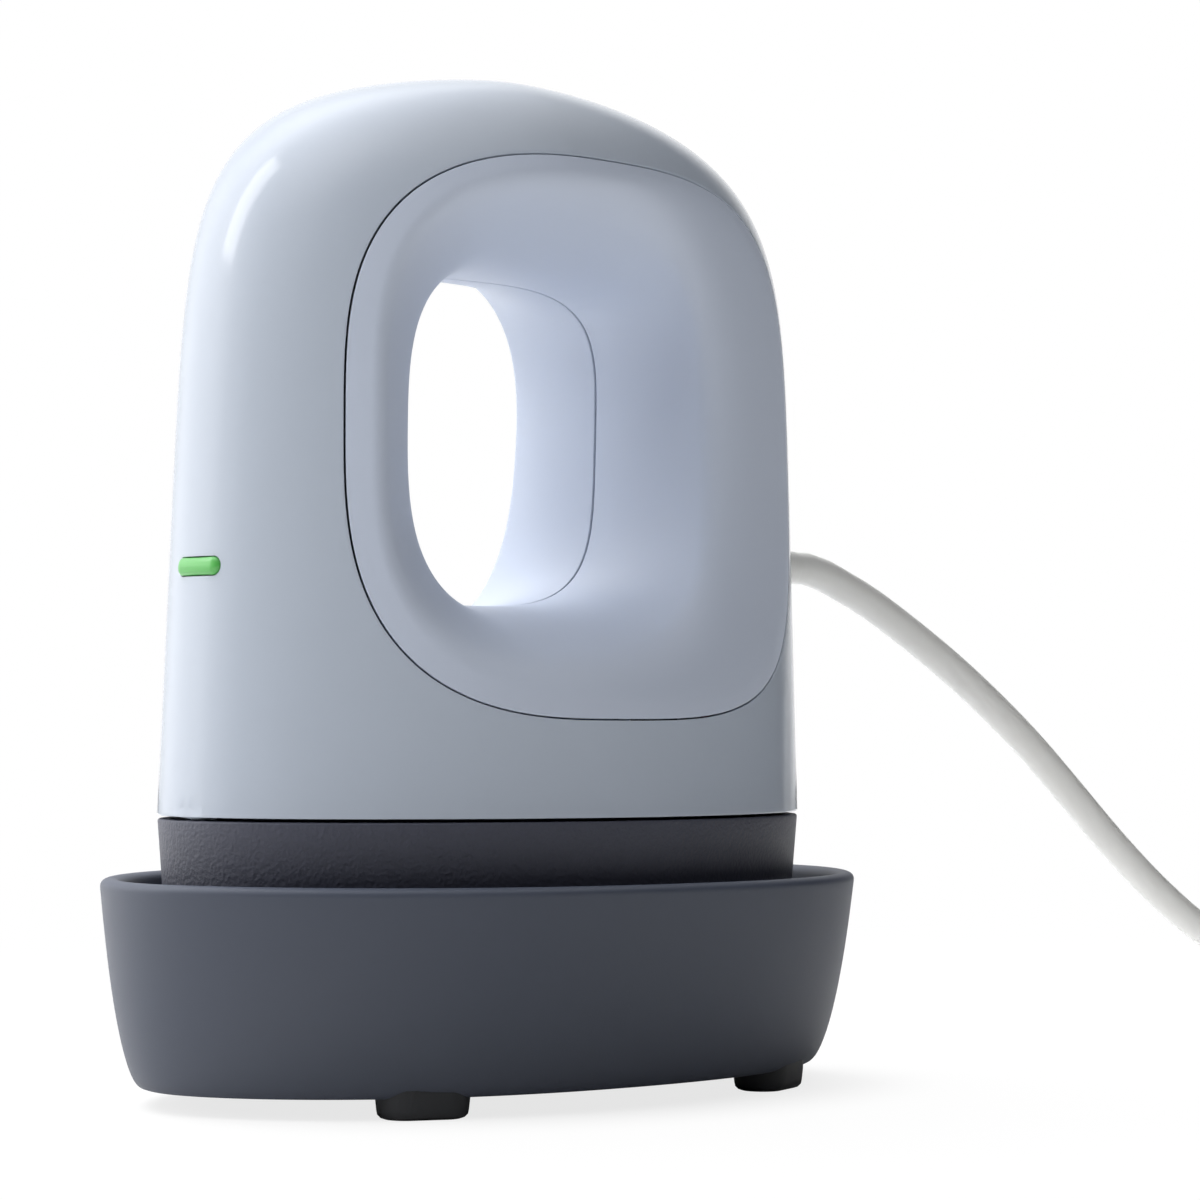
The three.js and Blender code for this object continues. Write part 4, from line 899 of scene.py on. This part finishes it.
def shell_surface():
    made = [shell_column(angle) for angle in angles]
    points, faces = [], []
    for side in (-1, 1):
        start = len(points)
        for row in zip(*made):
            points += [(x, side * y, z) for x, y, z in row]
        for quad in grid_faces(hood_rows + 1, columns):
            quad = [start + i for i in quad]
            faces.append(quad if side < 0 else quad[::-1])
    piece = add_object("hood", points, faces)
    face_outwards(piece, join_within=2e-6)
    return piece


hood = shell_surface()
print("hood surface:", len(hood.data.polygons), "faces")


# %% Openings for the button and the cord
hood_wall = 2.2
hood_edge = 0.12
button_height = 62
button_half_length = 3.9
button_half_height = 1.05
button_gap = 0.1
slot_ends = (-50, -36)
bore_ends = (36, 50)
bore_radius = 3.1


def pill_ring(x, half_length, half_height, centre_z):
    """A round-ended bar's outline, seen along x."""
    run = half_length - half_height
    points = []
    for c, s in around(48):
        y = half_height * c + (run if c > 0 else -run)
        points.append((x, y, centre_z + half_height * s))
    return points


def ring_round_cord(x, radius):
    """A circle round the cord where it leaves the hood."""
    return [(x, radius * c, cord_exit_height + radius * s) for c, s in around(48)]


def cut_with(piece, cutter):
    face_outwards(cutter)
    cut = piece.modifiers.new("cut", "BOOLEAN")
    cut.operation = "DIFFERENCE"
    cut.solver = "EXACT"
    cut.object = cutter
    bake(piece)
    bpy.data.objects.remove(cutter)


give_wall(hood, hood_wall)
round_edges(hood, hood_edge, segments=3, sharp=60)
bake(hood)
slot = (button_half_length + button_gap, button_half_height + button_gap, button_height)
cut_with(hood, loft("button_slot", [pill_ring(x, *slot) for x in slot_ends]))
cut_with(hood, loft("cord_bore", [ring_round_cord(x, bore_radius) for x in bore_ends]))
finish(hood, shell_gloss, "press", stands_for=["body_shell"])

# %% [markdown]
# ## The side panels
# Each panel lies flush in its window, turns over a soft crest and falls like a funnel
# into the handle hole, where it meets the other panel. One rule carries the surface from
# border to crest to throat, and the crest is rounded by blending the two stretches, over
# a wider band towards the rear.

# %% Side panels
panel_rows = 96
panel_thick = 1.5
crest_share = 0.3
front_funnel, rear_funnel = 1.8, 2.7
rounded_before = 0.1, 0.28
rounded_after = 0.045, 0.16
seam = 0.15


def from_front_to_rear(angle, at_front, at_rear):
    return at_front + (at_rear - at_front) * (1 + math.cos(angle)) / 2


def between(start, stop, w):
    return [a + (b - a) * w for a, b in zip(start, stop)]


def panel_sharp(s, angle):
    """The panel's surface with a sharp crest: s is 0 at the border and 1 at the throat."""
    top = outline_point(crest, angle)
    if s <= crest_share:
        x, z = between(outline_point(border, angle), top, s / crest_share)
        return Vector((x, -body_side(x, z), z))
    w = (1 - s) / (1 - crest_share)
    opened = w ** from_front_to_rear(angle, front_funnel, rear_funnel)
    x, z = between(outline_point(throat, angle), top, opened)
    return Vector((x, -(seam + (body_side(*top) - seam) * w), z))


def panel_place(s, angle):
    """The same surface, rounded over the crest by a quadratic blend."""
    low = crest_share - from_front_to_rear(angle, *rounded_before)
    high = crest_share + from_front_to_rear(angle, *rounded_after)
    if not low < s < high:
        return panel_sharp(s, angle)
    t = (s - low) / (high - low)
    a, b, c = (panel_sharp(v, angle) for v in (low, crest_share, high))
    return a * (1 - t) ** 2 + b * 2 * t * (1 - t) + c * t**2


def side_panel(name, side, node):
    shares = [k / panel_rows for k in range(panel_rows + 1)]
    places = [panel_place(s, angle) for s in shares for angle in angles]
    faces = grid_faces(panel_rows + 1, columns)
    if side > 0:
        faces = [face[::-1] for face in faces]
    piece = add_object(name, [(p.x, -side * p.y, p.z) for p in places], faces)
    give_wall(piece, panel_thick)
    bake(piece)
    finish(piece, panel_matte, "press", bevel=0.15, sharp=60, stands_for=[node])


side_panel("panel_near", -1, "side_panel_near")
side_panel("panel_far", 1, "side_panel_far")

# %% [markdown]
# ## The skirt and the plate
# Below the joint line the housing carries on in charcoal, slightly drafted, with a coarse
# spark texture that hides scratches. Inside it sits the cast plate.

# %% Sections below the joint
ring_sides = 240
oval_passes = 8
skirt_draft = 0.08
skirt_wall = 2.0
skirt_bottom, skirt_top = 15.4, 33.1
pocket_top = 25.4
tongue_top = 36.0
tongue_outside, tongue_inside = 3.5, 5.0


def oval(half_length, half_width, z, powers):
    """A closed oval whose power rule is softened on both axes; each pass brings it nearer."""
    long_power, wide_power = powers
    points = []
    for c, s in around(ring_sides):
        reach = 1.0
        for _ in range(oval_passes):
            value = softened(abs(c) * reach, long_power) + softened(abs(s) * reach, wide_power)
            reach *= (1 / value) ** (1 / (long_power + wide_power) * 2)
        points.append((half_length * reach * c, half_width * reach * s, z))
    return points


def body_ring(z, inset):
    """The body's outline at the joint, drawn in all round."""
    return oval(body_half_length - inset, body_half_width - inset, z, (end_power, side_power))


def skirt_piece():
    profile = [(z, 0) for z in (skirt_bottom, 18, 21, 24, 27, 30, skirt_top)]
    profile += [(skirt_top, tongue_outside), (tongue_top, tongue_outside)]
    profile += [(tongue_top, tongue_inside), (pocket_top, tongue_inside)]
    profile += [(pocket_top, skirt_wall), (skirt_bottom, skirt_wall)]
    rings = [body_ring(z, skirt_draft * (joint_height - z) + inset) for z, inset in profile]
    return closed_loft("skirt", rings)


finish(skirt_piece(), skirt_spark, "press", bevel=0.3, stands_for=["heat_skirt"])


# %% Heated plate
plate_inset = 3.848
plate_levels = (14, 21)
plate = loft("cast_plate", [body_ring(z, plate_inset) for z in plate_levels])
finish(
    plate, cast_aluminium, "press", bevel=1.0, segments=5, stands_for=["heat_plate"]
)

# %% [markdown]
# ## The tray
# A deep boat of matte slate plastic, thick in the wall, with a rounded rim that catches
# the light. Its wall stands nearly upright at the rim and turns in faster and faster
# towards the underside. Inside lie an insulating board and four silicone pads.

# %% Tray
tray_half_length, tray_half_width = 51.5, 36.3
tray_rim, tray_under = 26.1, 2.4
tray_taper_long, tray_taper_wide = 3.9, 8.6
tray_slant = 0.47
tray_turn_in = 2.7
tray_powers = (2.4, 1.65)
tray_wall, tray_floor, rim_round = 2.6, 5.4, 1.15
rim_fullness = 0.8
outside_rows, rim_rows, inside_rows = 25, 16, 16
closer_at_underside, closer_at_floor = 1.9, 1.4
board_inset, board_levels = 3.9, (5.7, 7.7)


def tray_ring(z, inset):
    """The outline at a height: part of the taper is even, the rest comes near the underside."""
    drop = min(max((tray_rim - z) / (tray_rim - tray_under), 0), 1)
    share = tray_slant * drop + (1 - tray_slant) * (1 - math.sqrt(1 - drop**tray_turn_in))
    half_length = tray_half_length - tray_taper_long * share - inset
    half_width = tray_half_width - tray_taper_wide * share - inset
    return oval(half_length, half_width, z, tray_powers)


def tray_piece():
    """Up the outside, over the rim and down the inside."""
    shoulder = tray_rim - rim_round
    rings = []
    for k in range(outside_rows + 1):
        drop = 1 - (k / outside_rows) ** closer_at_underside
        rings.append(tray_ring(shoulder - drop * (shoulder - tray_under), 0))
    for k in range(1, rim_rows + 1):
        angle = math.pi * k / rim_rows
        across = tray_wall / 2 * (1 - math.cos(angle))
        rings.append(tray_ring(shoulder + rim_round * math.sin(angle) ** rim_fullness, across))
    for k in range(1, inside_rows + 1):
        height = (1 - k / inside_rows) ** closer_at_floor
        rings.append(tray_ring(tray_floor + (shoulder - tray_floor) * height, tray_wall))
    return loft("resting_tray", rings)


finish(tray_piece(), tray_matte, "base", bevel=0.5, sharp=60, stands_for=["base_tray"])
board = loft("insulating_board", [tray_ring(z, board_inset) for z in board_levels])
finish(board, fibre_board, "base", bevel=0.3, stands_for=["insulating_insert"])


# %% Feet and rest pads placed by a node tree
def four_places_tree(material):
    inputs = [("Template", "Object"), ("Length", "Float"), ("Width", "Float"), ("Turn", "Float")]
    tree, start, end = geometry_tree("four_places", inputs)
    template, length, width, turn_by = (start.outputs[label] for label, _ in inputs)
    size = {"Size X": length, "Size Y": width, "Vertices X": 2, "Vertices Y": 2}
    places = output_of(tree, "GeometryNodeMeshGrid", "Mesh", size)
    inputs = {"Object": template, "As Instance": True}
    source = output_of(tree, "GeometryNodeObjectInfo", "Geometry", inputs)
    where = output_of(tree, "GeometryNodeInputPosition", "Position")
    here = add_node(tree, "ShaderNodeSeparateXYZ", {"Vector": where}).outputs
    hand = calculate(tree, "SIGN", calculate(tree, "MULTIPLY", here["X"], here["Y"]))
    turned = {"Z": calculate(tree, "MULTIPLY", hand, turn_by)}
    spin = output_of(tree, "ShaderNodeCombineXYZ", "Vector", turned)
    copies = {"Points": places, "Instance": source, "Rotation": spin}
    put = output_of(tree, "GeometryNodeInstanceOnPoints", "Instances", copies)
    end_tree(tree, put, end, material)
    return tree


def placed_four_times(name, template, half_spread, turn_by, material, nodes):
    holder = add_object(name, [(0, 0, 0)], [])
    length, width = (2 * half * MM for half in half_spread)
    values = {"Template": template, "Length": length, "Width": width, "Turn": turn_by}
    run_tree(holder, four_places_tree(material), values)
    bpy.data.objects.remove(template)
    finish(holder, material, "base", stands_for=nodes)


def foot_template():
    profile = [(0, 0.9), (0.15, 0.45), (0.5, 0.1), (1.0, 0.0), (2.4, -0.15), (3.4, -0.15)]
    rings = []
    for z, inset in profile:
        flat = pill_ring(0, foot_half_length - inset, foot_half_width - inset, 0)
        rings.append([(along, across, z) for _, along, across in flat])
    return loft("foot_template", rings)


def pad_template():
    profile = [(4.8, 8.0), (5.0, 8.2), (5.0, 9.0), (4.8, 9.2), (3.7, 9.3), (3.6, 9.5)]
    profile += [(3.6, 13.2), (3.3, 13.6), (2.2, 13.7), (1.8, 13.4), (0.4, 13.3)]
    rings = [[(radius * c, radius * s, z) for c, s in around(48)] for radius, z in profile]
    return loft("pad_template", rings)


foot_half_length, foot_half_width = 5.3, 3.3
foot_spread, foot_turn = (27.0, 20.8), -0.38
pad_spread = (24, 10)
corners = [end + "_" + side for end in ("front", "rear") for side in ("near", "far")]
feet_nodes = ["foot_" + corner for corner in corners]
foot = foot_template()
placed_four_times("rubber_feet", foot, foot_spread, foot_turn, foot_rubber, feet_nodes)
pad_nodes = ["rest_pad_" + corner for corner in corners]
pad = pad_template()
placed_four_times("rest_pads", pad, pad_spread, 0.0, pad_silicone, pad_nodes)

# %% [markdown]
# ## Button and strain relief
# The button is a small green pill, crowned to follow the front of the shell. The strain
# relief is the short tapered sleeve that keeps the cord from kinking at the wall.

# %% Button
def front_of_shell(y, z):
    ridge, front, _, side = body_size(z)
    across = min(abs(y) / side, 1)
    return ridge - front * unsoftened(1 - softened(across, side_power), end_power)


def button_piece():
    profile = [(-4.6, 0.0), (-1.0, 0.0), (0.0, 0.0), (0.18, 0.05)]
    profile += [(0.34, 0.18), (0.45, 0.4), (0.5, 0.7), (0.52, 1.0)]
    rings = []
    for proud, inset in profile:
        flat = pill_ring(0, button_half_length - inset, button_half_height - inset, button_height)
        rings.append([(front_of_shell(y, z) - proud, y, z) for _, y, z in flat])
    return loft("button_cap", rings)


finish(button_piece(), green_gloss, "button", stands_for=["power_button"])


# %% Strain relief
relief_profile = [
    (30.2, 3.0), (30.6, 3.6), (40.4, 3.6), (40.6, 2.8), (44.9, 2.8), (45.2, 3.3), (45.6, 3.5),
    (46.6, 3.4), (48.0, 2.75), (49.2, 2.35), (50.2, 2.22), (50.9, 2.2), (51.2, 2.12),
]
relief = loft("cord_sleeve", [ring_round_cord(x, radius) for x, radius in relief_profile])
finish(relief, cord_vinyl, "press", stands_for=["strain_relief"])

# %% [markdown]
# ## The inner parts
# What the shell hides keeps its CAD shape, and gets the material of the real part.

# %% Finishes for the inner parts
inner_finishes = [
    (rolled_steel, ["heater_element", "heat_shield"]),
    (rolled_steel, [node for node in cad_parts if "screw" in node]),
    (blade_brass, ["temperature_sensor"]),
    (fibre_board, ["insulation_pad"]),
    (moulded_black, ["chassis", "cord_clamp", "power_module", "capacitor", "tact_switch"]),
    (board_green, ["control_board", "button_board"]),
    (relay_blue, ["relay"]),
    (green_gloss, ["status_led"]),
    (wire_red, ["live_lead", "heater_lead_near", "heater_lead_far"]),
    (wire_blue, ["neutral_lead"]),
    (wire_white, ["thermal_fuse", "lead_connector", "sensor_lead", "button_lead"]),
]
for material, nodes in inner_finishes:
    for node in nodes:
        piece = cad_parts[node]
        piece.data.materials.clear()
        piece.data.materials.append(material)
print("inner parts painted:", sum(len(nodes) for _, nodes in inner_finishes))

# %% [markdown]
# ## Table, backdrop and light
# The product stands on white with only a faint shadow under it. As a light, the floor is
# an honest pale surface. For the camera it is lifted nearly to white close to the tray,
# so that a soft shadow stays, and all the way further off. The world is white to the
# camera and nearly dark as a light. Gloss mirrors a few soft bright patches in it.

# %% Floor
white = (1, 1, 1, 1)
floor_reach = 2500
floor_paint = (0.86, 0.86, 0.86, 1)
tray_squash = (0.8, 1.15, 1)
near_fade = (0.03, 0.055, 0.78, 0.97)
far_fade = (0.15, 0.35, 0.0, 0.03)


def empty_tree(owner, end_kind):
    """The node tree of a material or world with nothing but its end node."""
    owner.use_nodes = True
    owner.node_tree.nodes.clear()
    return owner.node_tree, add_node(owner.node_tree, end_kind)


def seen_directly(tree):
    """1 for what the camera sees, also through glass, and 0 for all other light."""
    rays = add_node(tree, "ShaderNodeLightPath").outputs
    return calculate(tree, "MAXIMUM", rays["Is Camera Ray"], rays["Is Transmission Ray"])


def mix_shaders(tree, share, first, second):
    inputs = {"Fac": share, 1: first, 2: second}
    return output_of(tree, "ShaderNodeMixShader", "Shader", inputs)


def smooth_range(tree, value, *ends):
    return map_range(tree, value, *ends, interpolation_type="SMOOTHSTEP")


def floor_material():
    material = bpy.data.materials.new("pale_floor")
    tree, end = empty_tree(material, "ShaderNodeOutputMaterial")
    place = output_of(tree, "ShaderNodeTexCoord", "Object")
    squashed = {0: place, 1: tray_squash}
    ellipse = output_of(tree, "ShaderNodeVectorMath", "Vector", squashed, operation="MULTIPLY")
    distance = output_of(tree, "ShaderNodeVectorMath", "Value", {0: ellipse}, operation="LENGTH")
    fades = [smooth_range(tree, distance, *fade) for fade in (near_fade, far_fade)]
    lifted = calculate(tree, "MULTIPLY", seen_directly(tree), calculate(tree, "ADD", *fades))
    paint = output_of(tree, "ShaderNodeBsdfDiffuse", "BSDF", {"Color": floor_paint})
    glow = output_of(tree, "ShaderNodeEmission", "Emission", {"Color": white, "Strength": 1})
    feed(tree, end, {"Surface": mix_shaders(tree, lifted, paint, glow)})
    return material


edge = [(x * floor_reach, y * floor_reach, 0) for x, y in ((-1, -1), (1, -1), (1, 1), (-1, 1))]
floor = add_object("floor", edge, [(0, 1, 2, 3)])
floor.data.materials.append(floor_material())
floor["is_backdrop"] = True
print("floor laid")


# %% World
# azimuth, elevation, start and end of the fade, strength of each patch that gloss mirrors
soft_patches = (
    (83, 0, 0.3, 0.65, 1.0),
    (0, 90, 0.5, 1.0, 1.75),
    (150, 50, 0.5, 1.0, 0.8),
    (125, 5, 0.6, 1.0, 1.3),
    (165, 10, 0.5, 1.0, 0.35),
)
dim_sky, dim_strength = (0.96, 0.98, 1.0, 1), 0.02


def pointing(azimuth, elevation):
    around_z, above = math.radians(azimuth), math.radians(elevation)
    level = math.cos(above)
    return level * math.cos(around_z), level * math.sin(around_z), math.sin(above)


def background(tree, colour, strength):
    inputs = {"Color": colour, "Strength": strength}
    return output_of(tree, "ShaderNodeBackground", "Background", inputs)


def studio_world():
    world = bpy.data.worlds.new("studio")
    tree, end = empty_tree(world, "ShaderNodeOutputWorld")
    direction = output_of(tree, "ShaderNodeTexCoord", "Generated")
    brightness = 0.0
    for azimuth, elevation, start, stop, strength in soft_patches:
        both = {0: direction, 1: pointing(azimuth, elevation)}
        towards = add_node(tree, "ShaderNodeVectorMath", both, operation="DOT_PRODUCT")
        patch = smooth_range(tree, towards.outputs["Value"], start, stop, 0.0, strength)
        brightness = calculate(tree, "ADD", brightness, patch)
    rays = add_node(tree, "ShaderNodeLightPath").outputs
    dim = background(tree, dim_sky, dim_strength)
    mirrored = background(tree, white, brightness)
    as_light = mix_shaders(tree, rays["Is Glossy Ray"], dim, mirrored)
    backdrop = background(tree, white, 1.0)
    feed(tree, end, {"Surface": mix_shaders(tree, seen_directly(tree), as_light, backdrop)})
    return world


bpy.context.scene.world = studio_world()
bpy.context.scene.view_settings.view_transform = "Standard"
print("backdrop is white")


# %% [markdown]
# ## Lamps
# Five large soft boxes light the press from all round and leave no mirror image. Only the
# narrow strip is mirrored, as the bright streak on the hood's shoulder.

# %% Lamps
lamp_target = Vector((0, 0, 0.06))
lamp_distance = 1.35


def softbox(name, azimuth, elevation, width, height, watts, mirrored=False):
    data = bpy.data.lights.new(name, "AREA")
    data.shape = "RECTANGLE"
    data.size = width
    data.size_y = height
    data.energy = watts
    lamp = bpy.data.objects.new(name, data)
    lamp.visible_glossy = mirrored
    outwards = Vector(pointing(azimuth, elevation))
    lamp.location = lamp_target + outwards * lamp_distance
    lamp.rotation_euler = (-outwards).to_track_quat("-Z", "Y").to_euler()
    bpy.context.collection.objects.link(lamp)


softbox("left_back_box", 135, 18, 0.9, 0.8, 3.0)
softbox("right_back_box", 45, 20, 0.9, 0.8, 6.5)
softbox("left_high_box", 180, 55, 0.9, 0.9, 11.4)
softbox("back_high_box", 90, 55, 0.9, 0.9, 23.4)
softbox("front_high_box", -90, 55, 0.9, 0.9, 3.0)
softbox("shoulder_strip", 135, 36, 0.35, 0.7, 2.8, mirrored=True)
print("lamps:", len(bpy.data.lights))

# %% Gather the sizes and finish
low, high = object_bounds()
sizes = {"cad": [list(cad_low), list(cad_high)], "visual": [list(low), list(high)]}
